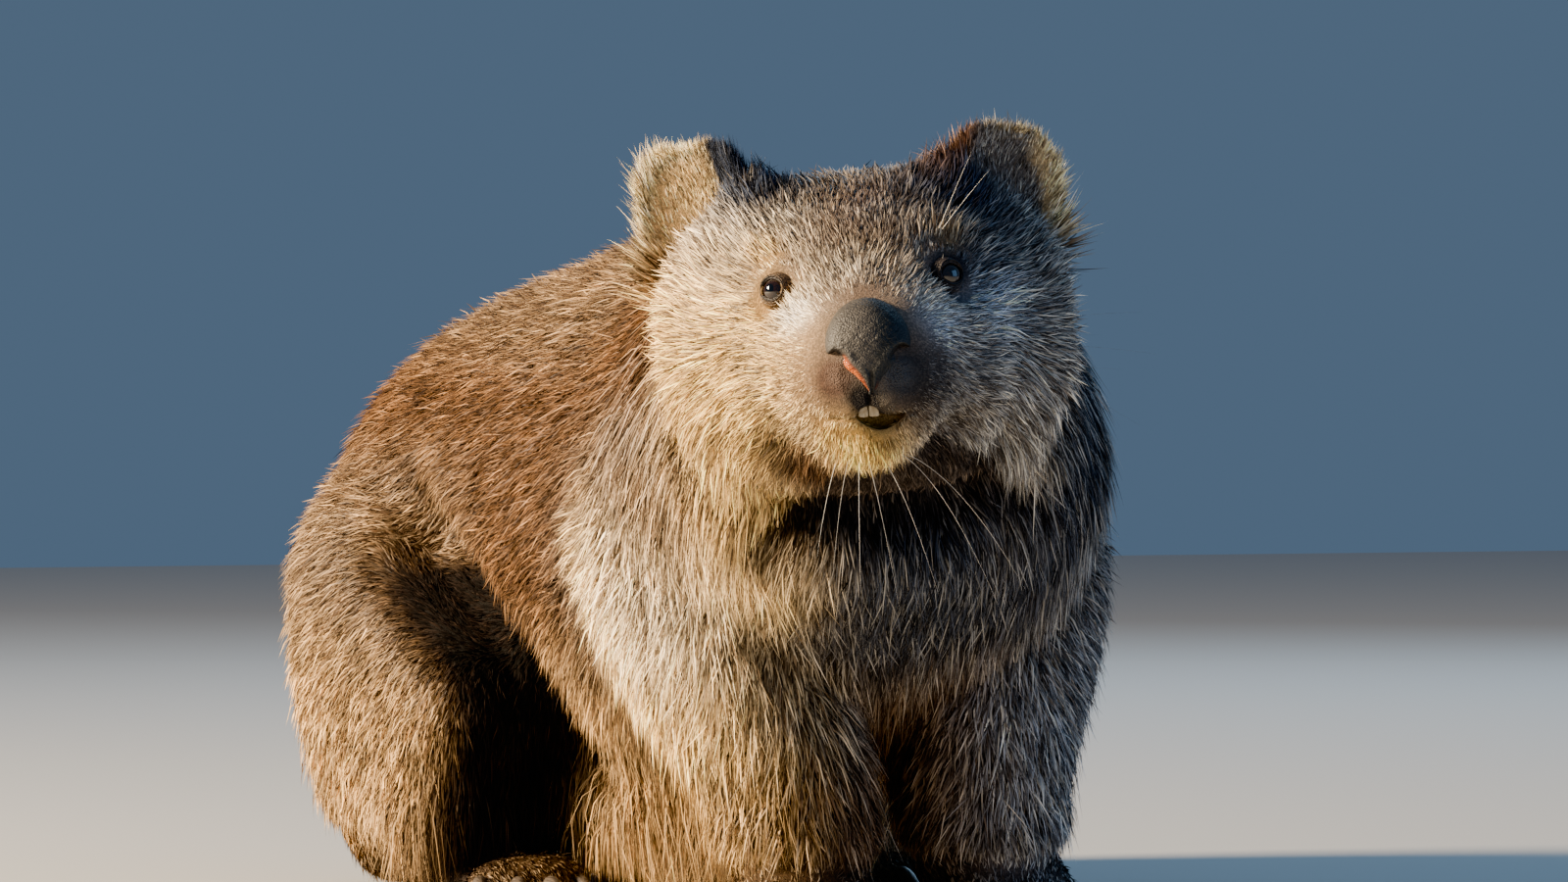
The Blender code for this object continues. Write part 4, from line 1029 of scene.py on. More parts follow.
# Under the coat the hide is darker, as the dark underfur and as painted shade between the tufts; on the bare skin the
# creases are painted darker as shade.
under = mixed(tree, 1.0, value_of(tree, "marking_and_painted_light", "Color"), (0.42, 0.37, 0.34, 1), "MULTIPLY")
under = mixed(tree, ramp(tree, noise(tree, 900), 0.42, 0.62), under, mixed(tree, 1.0, under, (1.9, 1.8, 1.7, 1), "MULTIPLY"))
height, crease = creases(tree, 1500, 3.0)
pebbled = mixed(tree, crease, value_of(tree, "marking_and_painted_light", "Color"), mixed(tree, 1.0, value_of(tree, "marking_and_painted_light", "Color"), (0.55, 0.48, 0.45, 1), "MULTIPLY"))
tree.links.new(mixed(tree, bare, under, pebbled), shader.inputs["Base Color"])
shine = put(tree, "ShaderNodeMapRange", {"Value": bare, "To Min": 0.8, "To Max": 0.55}).outputs[0]
tree.links.new(shine, shader.inputs["Roughness"])
relief = mixed(tree, bare, noise(tree, 1600), height)
bump(tree, shader, relief, 0.0006)
skin.data.materials.append(skin_paint)


# The nose: a broad bare pad, domed and pitted like fine leather, dark grey and dry on top; its creases,
# its left half and its lower part are painted darker as shade. A slit runs from each nostril down the
# pad's slanting edge, with wet, red skin inside the right one; the nostril openings and the whole left
# slit are painted near black as the shade in them.
NOSE_ROWS = (
    (-0.0275, 0.0018, 0.0030, 0.0160),
    (-0.0230, 0.0055, 0.0005, 0.0160),
    (-0.0170, 0.0100, -0.0018, 0.0170),
    (-0.0110, 0.0162, -0.0030, 0.0180),
    (-0.0060, 0.0198, -0.0036, 0.0200),
    (-0.0010, 0.0210, -0.0038, 0.0220),
    (0.0060, 0.0198, -0.0022, 0.0250),
    (0.0120, 0.0166, 0.0015, 0.0280),
    (0.0175, 0.0115, 0.0070, 0.0300),
    (0.0205, 0.0060, 0.0115, 0.0300),
)
# The slit from the outside of the nostril down to the point of the pad: across, up, half breadth, depth
SLIT = (
    (0.0260, -0.0058, 0.0004, 0.0006),
    (0.0205, -0.0062, 0.0012, 0.0030),
    (0.0168, -0.0062, 0.0026, 0.0062),
    (0.0142, -0.0078, 0.0026, 0.0046),
    (0.0118, -0.0118, 0.0025, 0.0020),
    (0.0090, -0.0160, 0.0028, 0.0015),
    (0.0058, -0.0205, 0.0025, 0.0012),
    (0.0030, -0.0240, 0.0013, 0.0008),
)


def slit_at(x, z):
    """For each point the nearest of 80 places along the slit: how far off, its half breadth, its depth
    and its share of the way down."""
    share = np.linspace(0, 1, len(SLIT))
    fine = np.linspace(0, 1, 80)
    across, up, half, depth = (through(share, np.array(SLIT)[:, c], fine) for c in range(4))
    apart = np.hypot(np.abs(x)[:, None] - across, z[:, None] - up)
    nearest = apart.argmin(1)
    return apart.min(1), half[nearest], depth[nearest], fine[nearest]


def nose_points():
    """Level superellipses through the pad's rows, the slits pushed in by a soft-edged trough, and a
    fine pitting of crossed waves."""
    at = np.linspace(NOSE_ROWS[0][0], NOSE_ROWS[-1][0], 110)
    rings = []
    for height, half_width, front, back in zip(at, *columns(NOSE_ROWS, at)):
        x, y = outline(200, half_width, (back - front) / 2, (back - front) / 2, 2.3, 2.3)
        rings.append(np.stack([x, y + (front + back) / 2, 0 * x + height], 1))
    rings = np.array(rings)
    flat = rings.reshape(-1, 3)
    apart, half, depth, share = slit_at(flat[:, 0], flat[:, 2])
    faces_front = flat[:, 1] < 0.009
    trough = soft(1.6 - apart / half) * depth * faces_front
    lip = np.exp(-(((apart - 1.9 * half) / (0.6 * half + 0.0002)) ** 2)) * 0.0005 * faces_front
    pits = 0.00010 * waves(flat, 0.0016, 21) + 0.00016 * waves(flat, 0.0042, 22)
    flat[:, 1] += trough - lip + pits * faces_front * soft(apart / 0.003)
    cleft = np.exp(-((flat[:, 0] / 0.0009) ** 2)) * soft((-0.012 - flat[:, 2]) / 0.006)
    flat[:, 1] += 0.0011 * cleft * faces_front
    return flat.reshape(rings.shape)


nose_rings = nose_points()
nose_tips = [ring.mean(0) + [0, 0, step] for ring, step in ((nose_rings[0], -0.001), (nose_rings[-1], 0.001))]
nose_local, nose_faces = shell(nose_rings, *nose_tips)
nose = piece_of("nose_pad", from_head(nose_local), nose_faces)
apart, half, depth, share = slit_at(nose_local[:, 0], nose_local[:, 2])
inside = soft(1.45 - apart / half) * (nose_local[:, 1] < 0.015)
right_side = soft((0.004 - nose_local[:, 0]) / 0.004)
add_point_value(nose.data, "wet", inside * right_side * soft((share - 0.36) / 0.12))
# The nostril openings, and the whole slit on the left, are painted near black as the shade in them.
add_point_value(nose.data, "painted_hole_shade", inside * soft((0.46 - share) / 0.12 + (1 - right_side)))
# The left half of the pad and its lower part are painted darker as shade.
painted_nose_shade = soft((nose_local[:, 0] + 0.002) / 0.010) + 0.8 * soft((-0.010 - nose_local[:, 2]) / 0.008)
add_point_value(nose.data, "painted_nose_shade", np.clip(painted_nose_shade, 0, 1))
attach(nose, "root")
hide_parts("nose")
nose_paint, tree, shader = paint("nose_leather", 0.52, 0.5)
height, crease = creases(tree, 1250, 2.5)
# The leather: darker in its creases as painted shade, mottled, and darker and bluer on the left and low down as painted
# shade.
leather = mixed(tree, crease, (0.075, 0.068, 0.060, 1), (0.022, 0.021, 0.022, 1))
leather = mixed(tree, ramp(tree, noise(tree, 260), 0.35, 0.70), leather, (0.040, 0.037, 0.034, 1))
leather = mixed(tree, value_of(tree, "painted_nose_shade"), leather, mixed(tree, 1.0, leather, (0.18, 0.25, 0.31, 1), "MULTIPLY"))
wet, painted_hole_shade = value_of(tree, "wet"), value_of(tree, "painted_hole_shade")
raw = mixed(tree, ramp(tree, noise(tree, 420), 0.35, 0.65), (0.26, 0.040, 0.008, 1), (0.62, 0.150, 0.022, 1))
coloured = mixed(tree, painted_hole_shade, mixed(tree, wet, leather, raw), (0.010, 0.006, 0.005, 1))
tree.links.new(coloured, shader.inputs["Base Color"])
tree.links.new(put(tree, "ShaderNodeMapRange", {"Value": wet, "To Min": 0.52, "To Max": 0.16}).outputs[0], shader.inputs["Roughness"])
bump(tree, shader, height, 0.00035)
nose.data.materials.append(nose_paint)


# The eyes: dark brown, almost black balls, wet and highly polished, each set between two thick
# wrinkled lids with a black rim.
EYE_RADIUS = 0.0078
EYE_SIDES, EYE_RINGS = 64, 40


def eye_ball(word):
    """Rings round the eye's own axis. The cornea stands proud of the ball by a soft bulge."""
    centre, across, up, out = eye_frame(word)
    fall = np.linspace(0.04, math.pi - 0.04, EYE_RINGS)
    turn = np.arange(EYE_SIDES) * 2 * math.pi / EYE_SIDES
    reach = EYE_RADIUS * (0.985 + 0.055 * np.exp(-((fall / 0.62) ** 4)))
    flat = (reach * np.sin(fall))[:, None]
    rings = (
        centre
        + (flat * np.cos(turn))[..., None] * across
        + (flat * np.sin(turn))[..., None] * up
        + ((reach * np.cos(fall))[:, None] * np.ones(EYE_SIDES))[..., None] * out
    )
    return shell(rings, centre + out * reach[0], centre - out * reach[-1])


eyes = piece_of("eyeballs", *joined([eye_ball("left"), eye_ball("right")]))
points, fronts = points_of(eyes.data), []
for word in ("left", "right"):
    centre, _, _, forward = eye_frame(word)
    fronts.append((unit(points - centre) @ forward) * (np.linalg.norm(points - centre, axis=1) < 0.012))
add_point_value(eyes.data, "front", np.maximum(*fronts))
eye_paint, tree, shader = paint("eye_glaze", 0.06, 0.6)
front = value_of(tree, "front")
streaks = noise(tree, 900, 2.0)
iris = mixed(tree, ramp(tree, streaks, 0.3, 0.7), (0.008, 0.0035, 0.002, 1), (0.022, 0.009, 0.004, 1))
iris = mixed(tree, ramp(tree, front, 0.945, 0.965), iris, (0.0015, 0.0015, 0.0020, 1))
iris = mixed(tree, ramp(tree, front, 0.72, 0.62), iris, (0.012, 0.007, 0.005, 1))
tree.links.new(iris, shader.inputs["Base Color"])
shader.inputs["Coat Weight"].default_value = 1.0
shader.inputs["Coat Roughness"].default_value = 0.02
eyes.data.materials.append(eye_paint)
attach(eyes, "root")
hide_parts("eye_left", "eye_right")

def lid_ring(word):
    """A ring swept round the eye: its profile runs from the rim outwards, the rim is drawn to an
    almond that points at both corners, and fine folds run along the lids."""
    centre, across, up, out = eye_frame(word)
    table = np.array(LID_PROFILE)
    at = np.linspace(0, 1, 44)
    reach, height = (through(table[:, 0], table[:, c], at) for c in (1, 2))
    turn = np.arange(128) * 2 * math.pi / 128
    corner = np.abs(np.cos(turn)) ** 6
    rim = soft((0.55 - at) / 0.45)[:, None]
    wide = 1 + rim * (0.16 * corner - 0.10 * np.abs(np.sin(turn)) ** 2)
    lid = np.abs(np.sin(turn)) ** 0.7
    folds = 0.00030 * np.sin(at[:, None] * 34 + 1.2 * np.cos(turn)) * lid * soft((at - 0.25) / 0.15)[:, None]
    brow = 0.0012 * np.exp(-(((at - 0.55) / 0.22) ** 2))[:, None] * np.clip(np.sin(turn), 0, 1)
    lift = height[:, None] + folds + brow - 0.0010 * rim * corner
    flat = reach[:, None] * wide
    points = (
        centre
        + (flat * np.cos(turn))[..., None] * across
        + (flat * np.sin(turn))[..., None] * up
        + lift[..., None] * out
    )
    count, sides = points.shape[:2]
    low = np.arange(count - 1)[:, None] * sides + np.arange(sides)
    after = np.arange(count - 1)[:, None] * sides + (np.arange(sides) + 1) % sides
    quads = np.stack([low, low + sides, after + sides, after], -1).reshape(-1, 4)
    return points.reshape(-1, 3), quads.tolist(), np.repeat(at, sides)


lid_parts = [lid_ring("left"), lid_ring("right")]
lids = piece_of("eyelids", *joined([part[:2] for part in lid_parts]))
add_point_value(lids.data, "out", np.concatenate([part[2] for part in lid_parts]))
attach(lids, "root")
points = points_of(lids.data)
add_colours(lids.data, "marking_and_painted_light", colour_of(points, along_spine(points)[0]))
lid_paint, tree, shader = paint("lid_skin", 0.45, 0.45)
height, crease = creases(tree, 1400, 3.0)
lid_colour = mixed(tree, 1.0, value_of(tree, "marking_and_painted_light", "Color"), (0.30, 0.25, 0.23, 1), "MULTIPLY")
# The lid's creases, painted darker as shade.
lid_colour = mixed(tree, crease, lid_colour, (0.022, 0.015, 0.012, 1))
rim = ramp(tree, value_of(tree, "out"), 0.62, 0.34)
tree.links.new(mixed(tree, rim, lid_colour, (0.016, 0.011, 0.009, 1)), shader.inputs["Base Color"])
bump(tree, shader, height, 0.00030)
lids.data.materials.append(lid_paint)


# The teeth: two upper incisors side by side, cream, worn and a little stained in patches.
TOOTH_SIZE = (0.0050, 0.0029, 0.0092)
TOOTH_MIDDLE = (-0.0026, 0.0092, -0.0371)


def tooth_shell(side):
    """Rounded rectangles stacked from the worn edge up to the gum, bowed forwards in the middle."""
    wide, thick, tall = TOOTH_SIZE
    t = np.linspace(0, 1, 24)
    rings = []
    for share in t:
        round_off = 1 - 0.16 * (1 - soft(share / 0.07))
        x, y = outline(40, wide / 2 * round_off * (1 - 0.10 * share), thick / 2 * round_off, thick / 2 * round_off, 4.5, 4.5)
        bow = -0.0010 * math.sin(math.pi * share * 0.8)
        rings.append(np.stack([x + side * (wide / 2 + 0.0002), y + bow, 0 * x + tall * share], 1))
    rings = np.array(rings) + TOOTH_MIDDLE
    return shell(rings, rings[0].mean(0) - [0, 0, 0.0003], rings[-1].mean(0))


teeth_points, teeth_faces = joined([tooth_shell(-1), tooth_shell(1)])
teeth = piece_of("front_teeth", from_head(teeth_points), teeth_faces)
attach(teeth, "root")
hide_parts("incisors")
tooth_paint, tree, shader = paint("tooth_enamel", 0.30, 0.5)
stain = ramp(tree, noise(tree, 500), 0.38, 0.68)
tree.links.new(mixed(tree, stain, (0.56, 0.48, 0.34, 1), (0.36, 0.27, 0.15, 1)), shader.inputs["Base Color"])
bump(tree, shader, noise(tree, 700), 0.0001)
teeth.data.materials.append(tooth_paint)


# The claws: five on each forefoot and four on each hind foot, blunt, long and slightly curved horn,
# streaked dark and pale along its grain.
CLAW_LENGTH = 0.022
CLAW_RADIUS = 0.0046


def claw_shells(word):
    """Round sections along a path that falls with the square of its length, and taper to a blunt tip."""
    place = foot_place(word)
    t = np.linspace(0, 1, 14)
    turn = np.arange(14) * math.pi / 7
    made = []
    for share, x, y in zip(*toes_of(word)):
        size = CLAW_LENGTH * (1 - 0.2 * share**2)
        path = np.stack(
            [x + 0.18 * share * size * t, y - TOE_SIZE[1] * 0.55 - size * t, 0.0105 + 0.0040 * t - 0.0110 * t**2], 1
        )
        radius = CLAW_RADIUS * (1.0 - 0.72 * t**1.6)
        ring = np.stack([np.cos(turn), 0 * turn, 1.15 * np.sin(turn)], 1)
        rings = path[:, None, :] + radius[:, None, None] * ring
        rings[:, :, 2] = np.maximum(rings[:, :, 2], 0.0006)
        points, faces = shell(rings[::-1], path[-1] + [0, -0.0012, -0.0002], path[0])
        made.append((points @ place[:3, :3].T + place[:3, 3], faces))
    return made


claws = piece_of("claws", *joined([one for word in LIMBS for one in claw_shells(word)]))
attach(claws, "root")
claw_horn, tree, shader = paint("claw_horn", 0.42, 0.5)
grain = put(tree, "ShaderNodeMapping", {"Vector": put(tree, "ShaderNodeTexCoord").outputs["Object"], "Scale": (1.0, 0.12, 1.0)})
layers = put(tree, "ShaderNodeTexNoise", {"Vector": grain.outputs[0], "Scale": 900, "Detail": 3.0}).outputs["Fac"]
horn = mixed(tree, ramp(tree, layers, 0.35, 0.65), (0.045, 0.034, 0.026, 1), (0.120, 0.092, 0.066, 1))
tree.links.new(horn, shader.inputs["Base Color"])
bump(tree, shader, layers, 0.0003)
claws.data.materials.append(claw_horn)


# The coat: coarse guard hair over a dense dark underfur, short and flat on the muzzle, long in the
# ruff and under the belly. It grows as tapered tufts, rooted on the skin and lying along the body.
COAT_SEED = 7
# Distance from the nose, length of the hair, breadth of a tuft, tufts to a square centimetre
FACE_HAIR = (
    (0.000, 0.0018, 0.00026, 340),
    (0.026, 0.0028, 0.00028, 340),
    (0.040, 0.0055, 0.00031, 290),
    (0.060, 0.0105, 0.00036, 200),
    (0.080, 0.0140, 0.00040, 145),
    (0.105, 0.0180, 0.00048, 104),
    (0.140, 0.0215, 0.00058, 74),
    (0.240, 0.0225, 0.00064, 62),
)
TRUNK_HAIR = (0.0150, 0.00066, 55)
LEG_HAIR = (0.0165, 0.00074, 40)
FOOT_HAIR = (0.0065, 0.00060, 60)
EAR_HAIR = (0.0056, 0.00038, 170)
CLUMP = 0.0036
FLOOR_CLEARANCE = 0.0004


def hanging(points):
    """1 on the underside of the belly, where the hair hangs straight down, and 0 elsewhere."""
    low = soft((0.085 - points[:, 2]) / 0.02) * soft((points[:, 2] - 0.034) / 0.01)
    return low * soft((points[:, 1] + 0.07) / 0.03) * soft((0.17 - points[:, 1]) / 0.04)


def away_from(points, middle, reach):
    """The way out from a place, fading as exp of minus the squared distance over reach squared."""
    way = points - middle
    far = np.linalg.norm(way, axis=1)[:, None]
    return way / np.maximum(far, 1e-6) * np.exp(-((far / reach) ** 2))


def lie_of(points, normals, at, heading):
    """The way the hair lies: out from the nose on the head and round the eyes, back and down on the
    trunk, down the legs, forwards on the feet, and out to the rim on the ears."""
    h = in_head(points)
    from_nose = unit(np.stack([h[:, 0], np.maximum(h[:, 1], 0) + 0.010, h[:, 2] + 0.004], 1))
    from_nose[:, 2] -= 0.55 * soft((0.02 - h[:, 2]) / 0.06) * soft((h[:, 1] - 0.035) / 0.05)
    on_head = from_nose @ head_turned.T
    for word in ("left", "right"):
        centre, _, _, _ = eye_frame(word)
        on_head = on_head + 1.1 * away_from(points, centre, 0.016)
    back = np.stack([-np.sin(heading), np.cos(heading), 0 * heading], 1)
    side = np.abs(normals[:, 0] * np.cos(heading) + normals[:, 1] * np.sin(heading))
    down = 0.15 + 0.60 * soft(side) + 0.9 * soft((0.10 - at) / 0.10) + 1.1 * soft((at - 0.46) / 0.12)
    on_trunk = 0.9 * back - down[:, None] * [0, 0, 1]
    leg = soft((0.165 - points[:, 2]) / 0.09)[:, None]
    on_leg = 0.25 * back - [0, 0, 1.0]
    foot = soft((0.045 - points[:, 2]) / 0.02)[:, None]
    on_foot = -0.9 * back - [0, 0, 0.4]
    body = on_trunk * (1 - leg) + leg * (on_leg * (1 - foot) + on_foot * foot)
    head = share_of_head(points)[:, None]
    lie = unit(on_head) * head + unit(body) * (1 - head)
    for word in EARS:
        local, out = in_ear(points, word)
        plate = share_of_ear(points, word)[:, None]
        spread = np.stack([local[:, 0] * 1.1, 0 * out, np.maximum(local[:, 2], -0.02) + 0.040], 1)
        lie = lie * (1 - plate) + unit(spread) @ ear_place(word)[:3, :3].T * plate
    tuck = spot(h, -52, 118, 88, 20) + spot(h, 50, 116, 84, 20)
    lie = lie + 1.6 * tuck[:, None] * head_turned[:, 2]
    return unit(lie - (lie * normals).sum(1)[:, None] * normals)


def hair_of(points):
    """Length, breadth and density of the hair, each mixed from the head's, trunk's, leg's and foot's."""
    h = in_head(points)
    reach = np.linalg.norm(h - [0, 0.005, -0.008], axis=1)
    on_head = columns(FACE_HAIR, reach)
    beard = soft((-0.030 - h[:, 2]) / 0.03) * soft((h[:, 1] - 0.050) / 0.04) * soft((np.abs(h[:, 0]) - 0.045) / 0.03)
    chin = spot(h, -2, 24, -54, 17)
    on_head[0] = on_head[0] * (1 + 0.50 * beard + 0.6 * chin) * (1 - 0.30 * throat_share(points))
    on_head[0] = on_head[0] * (1 - 0.42 * spot(h, 0, 80, 62, 48)) * (1 - 0.30 * soft((h[:, 2] - 0.030) / 0.04))
    head = share_of_head(points)
    leg = soft((0.17 - points[:, 2]) / 0.12)
    foot = soft((0.055 - points[:, 2]) / 0.02)
    made = []
    ears = np.maximum(share_of_ear(points, "left"), share_of_ear(points, "right"))
    for hair, trunk, limb, paw, ear in zip(on_head, TRUNK_HAIR, LEG_HAIR, FOOT_HAIR, EAR_HAIR):
        body = (trunk * (1 - leg) + limb * leg) * (1 - foot) + paw * foot
        made.append((hair * head + body * (1 - head)) * (1 - ears) + ear * ears)
    length, breadth, density = made
    at, _ = along_spine(points)
    chest = soft((at - 0.50) / 0.08) * (1 - head) * (1 - foot)
    length = length * (1 + 0.45 * chest) * (1 - 0.50 * fold_share(points, 0.028, 0.006, 4)) * (1 - 0.35 * step_share(points))
    length = length + 0.024 * hanging(points)
    for word in EARS:
        local, out = in_ear(points, word)
        rim = share_of_ear(points, word) * soft((out - 0.84) / 0.1)
        outer = soft(local[:, 0] * EARS[word][0] / 0.03) * (soft((0.035 - local[:, 2]) / 0.02) if word == "left" else 1.0)
        length = length * (1 + 0.4 * rim + 1.4 * rim * outer)
        density = density * (1 + 0.9 * rim)
    tuck = spot(h, -50, 116, 92, 20) + spot(h, 47, 114, 86, 20)
    length = length * (1 + 0.60 * tuck)
    density = density * (1 + 0.80 * tuck)
    for word in ("left", "right"):
        centre, _, _, _ = eye_frame(word)
        far = np.linalg.norm(points - centre, axis=1)
        density = density * soft((far - 0.0088) / 0.0015)
        length = length * (0.32 + 0.68 * soft((far - 0.009) / 0.016))
    density = density * soft((0.75 - bare_share(points)) / 0.5)
    return length, breadth, density


def unwrapped(points, at):
    """A place in the unit square: a disc for the head, a strip round the trunk, a square for each leg."""
    h = in_head(points) - [0, 0.12, 0]
    fall = np.arccos(np.clip(-h[:, 1] / np.linalg.norm(h, axis=1), -1, 1)) / math.pi
    turn = np.arctan2(h[:, 2], h[:, 0])
    disc = np.stack([0.25 + 0.24 * fall * np.cos(turn), 0.75 + 0.24 * fall * np.sin(turn)], 1)
    x, _, _ = spine(at)
    round_it = np.arctan2(points[:, 2] - 0.20, points[:, 0] - x) / (2 * math.pi) + 0.5
    strip = np.stack([0.51 + 0.48 * at / SPINE_LENGTH, 0.02 + 0.96 * round_it], 1)
    fore, left = points[:, 1] < 0.03, points[:, 0] > 0
    middle = np.where(fore[:, None], [0.058, -0.10], [0.10, 0.21])
    about = np.arctan2(points[:, 1] - middle[:, 1], np.abs(points[:, 0]) - middle[:, 0]) / (2 * math.pi) + 0.5
    leg = np.stack([0.01 + 0.23 * about + 0.25 * fore, 0.01 + 0.23 * points[:, 2] / 0.2 + 0.25 * left], 1)
    on_leg = (points[:, 2] < 0.12) & (share_of_head(points) < 0.5)
    flat = np.where((share_of_head(points) > 0.5)[:, None], disc, strip)
    return np.clip(np.where(on_leg[:, None], leg, flat), 0.004, 0.996)


def roots_on(mesh, density, fields, draw):
    """Random roots spread over the mesh's triangles by a density at each point, and each field of
    values there, mixed from the triangle's three corners."""
    mesh.calc_loop_triangles()
    corners = np.empty(len(mesh.loop_triangles) * 3, np.int32)
    mesh.loop_triangles.foreach_get("vertices", corners)
    corners = corners.reshape(-1, 3)
    a, b, c = (fields[0][corners[:, k]] for k in range(3))
    area = np.linalg.norm(np.cross(b - a, c - a), axis=1) / 2
    sums = np.cumsum(area * density[corners].mean(1) * 1e4)
    count = int(sums[-1])
    picked = np.searchsorted(sums, (np.arange(count) + draw.uniform(size=count)) * sums[-1] / count)
    picked = np.minimum(picked, len(area) - 1)
    s, t = draw.uniform(size=(2, count))
    s = np.sqrt(s)
    shares = np.stack([1 - s, s * (1 - t), s * t], 1)
    return [np.einsum("nk,nk...->n...", shares, field[corners[picked]]) for field in fields]


def gathered(points, size, seed):
    """The middle of each point's clump: space is cut in crooked cells, each with a random middle."""
    crooked = points + 0.6 * size * np.stack([waves(points, size * 5, seed + k) for k in range(3)], 1)
    cell = np.floor(crooked / size)
    mixes = np.array([[12.9898, 78.233, 37.719], [39.3468, 11.135, 83.155], [73.156, 52.235, 9.151]])
    odd = np.sin(cell @ mixes.T) * 43758.5453
    return (cell + 0.2 + 0.6 * (odd - np.floor(odd))) * size - (crooked - points)


def tufts(name, hair, draw):
    """One mesh of flat, tapered tufts of three faces. Each rises at its lift and bends back to lie flat
    at its tip: its angle over the skin falls evenly along it. Its shading leans toward the skin's own."""
    count = len(hair["root"])
    root, normal, lie, length = hair["root"], hair["normal"], hair["lie"], hair["length"][:, None]
    across = np.cross(lie, normal)
    spin = draw.normal(0, 0.5, count)[:, None]
    across = across * np.cos(spin) + normal * np.sin(spin)
    path = [root - normal * 0.0006]
    faces_up = []
    for share, middle in ((0.5, 0.25), (0.5, 0.75)):
        angle = hair["lift"][:, None] * (1.35 - 1.30 * middle)
        way = lie * np.cos(angle) + normal * np.sin(angle)
        path.append(path[-1] + way * length * share)
        faces_up.append(np.cross(across, way))
    path[2] = path[2] + hair["gather"]
    for share, k in ((0.10, 1), (0.42, 2)):
        path[k] = path[k] - length * share * hair["droop"][:, None] * [0, 0, 1]
    half = across * (hair["breadth"] / 2)[:, None]
    points = np.stack([path[0] - 0.6 * half, path[0] + 0.6 * half, path[1] - half, path[1] + half, path[2]], 1)
    points[:, :, 2] = np.maximum(points[:, :, 2], FLOOR_CLEARANCE * (1 + 3 * draw.uniform(size=(count, 1))))
    loops = np.array([0, 1, 3, 2, 2, 3, 4])
    corners = (np.arange(count)[:, None] * 5 + loops).ravel()
    starts = (np.arange(count)[:, None] * 7 + [0, 4]).ravel()
    mesh = bpy.data.meshes.new(name)
    mesh.vertices.add(count * 5)
    mesh.vertices.foreach_set("co", points.astype(np.float32).ravel())
    mesh.loops.add(len(corners))
    mesh.loops.foreach_set("vertex_index", corners.astype(np.int32))
    mesh.polygons.add(len(starts))
    mesh.polygons.foreach_set("loop_start", starts.astype(np.int32))
    mesh.update(calc_edges=True)
    mesh.shade_smooth()
    shading = []
    for up, side in ((0, -1), (0, 1), (0, -1), (0, 1), (1, 0)):
        own = faces_up[up] * np.sign((faces_up[up] * normal).sum(1))[:, None]
        shading.append(unit(0.45 * normal + 0.55 * own + 0.40 * side * across))
    facing = mesh.attributes.new("custom_normal", "FLOAT_VECTOR", "POINT")
    facing.data.foreach_set("vector", np.stack(shading, 1).astype(np.float32).ravel())
    along = np.array([0, 0, 0.5, 0.5, 1.0])
    patch = np.stack([[-0.0015, 0.0015, -0.0015, 0.0015, 0.0], 0.003 * along], 1)
    flat = (hair["flat"][:, None, :] + patch)[:, loops].reshape(-1, 2)
    mesh.uv_layers.new(name="OFBake").data.foreach_set("uv", flat.astype(np.float32).ravel())
    add_colours(mesh, "tint", np.repeat(hair["colour"], 5, 0))
    add_point_value(mesh, "along", np.tile(along, count))
    add_point_value(mesh, "draw", np.repeat(hair["draw"], 5))
    made = bpy.data.objects.new(name, mesh)
    bpy.context.scene.collection.objects.link(made)
    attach(made, "root")
    return made


# Hair banded along its length: dark at the root, some hairs pale toward the tip, some dark throughout
agouti, given, out = new_group(
    "agouti",
    {"Tint": "NodeSocketColor", "Along": "NodeSocketFloat", "Draw": "NodeSocketFloat"},
    {"Colour": "NodeSocketColor", "Gloss": "NodeSocketFloat"},
)
root_shade = mixed(agouti, ramp(agouti, given.outputs["Along"], 0.0, 0.6), (0.26, 0.21, 0.18, 1), (1.20, 1.18, 1.14, 1))
base = mixed(agouti, 1.0, given.outputs["Tint"], root_shade, "MULTIPLY")
banded = ramp(agouti, given.outputs["Along"], 0.30, 0.75)
brighter = mixed(agouti, 1.0, given.outputs["Tint"], (2.5, 2.5, 2.5, 1), "MULTIPLY")
lightness = put(agouti, "ShaderNodeRGBToBW", {"Color": given.outputs["Tint"]}).outputs[0]
tipped = sum_of(agouti, "MULTIPLY", ramp(agouti, lightness, 0.04, 0.12), 0.18)
pale_tip = mixed(agouti, tipped, brighter, (0.62, 0.52, 0.36, 1))
pale_band = sum_of(agouti, "MULTIPLY", banded, ramp(agouti, given.outputs["Draw"], 0.66, 0.90))
base = mixed(agouti, pale_band, base, pale_tip)
dark_hair = ramp(agouti, given.outputs["Draw"], 0.34, 0.12)
base = mixed(agouti, dark_hair, base, mixed(agouti, 1.0, base, (0.34, 0.29, 0.27, 1), "MULTIPLY"))
agouti.links.new(base, out.inputs["Colour"])
agouti.links.new(ramp(agouti, lightness, 0.0, 0.06), out.inputs["Gloss"])


def coat_material(name, roughness):
    """Hair: the agouti colour of its attributes over a soft sheen."""
    made, tree, shader = paint(name, roughness, 0.22)
    group = tree.nodes.new("ShaderNodeGroup")
    group.node_tree = agouti
    tree.links.new(value_of(tree, "tint", "Color"), group.inputs["Tint"])
    tree.links.new(value_of(tree, "along"), group.inputs["Along"])
    tree.links.new(value_of(tree, "draw"), group.inputs["Draw"])
    tree.links.new(group.outputs["Colour"], shader.inputs["Base Color"])
    rough = put(tree, "ShaderNodeMapRange", {"Value": group.outputs["Gloss"], "To Min": 0.95, "To Max": roughness}).outputs[0]
    tree.links.new(rough, shader.inputs["Roughness"])
    return made


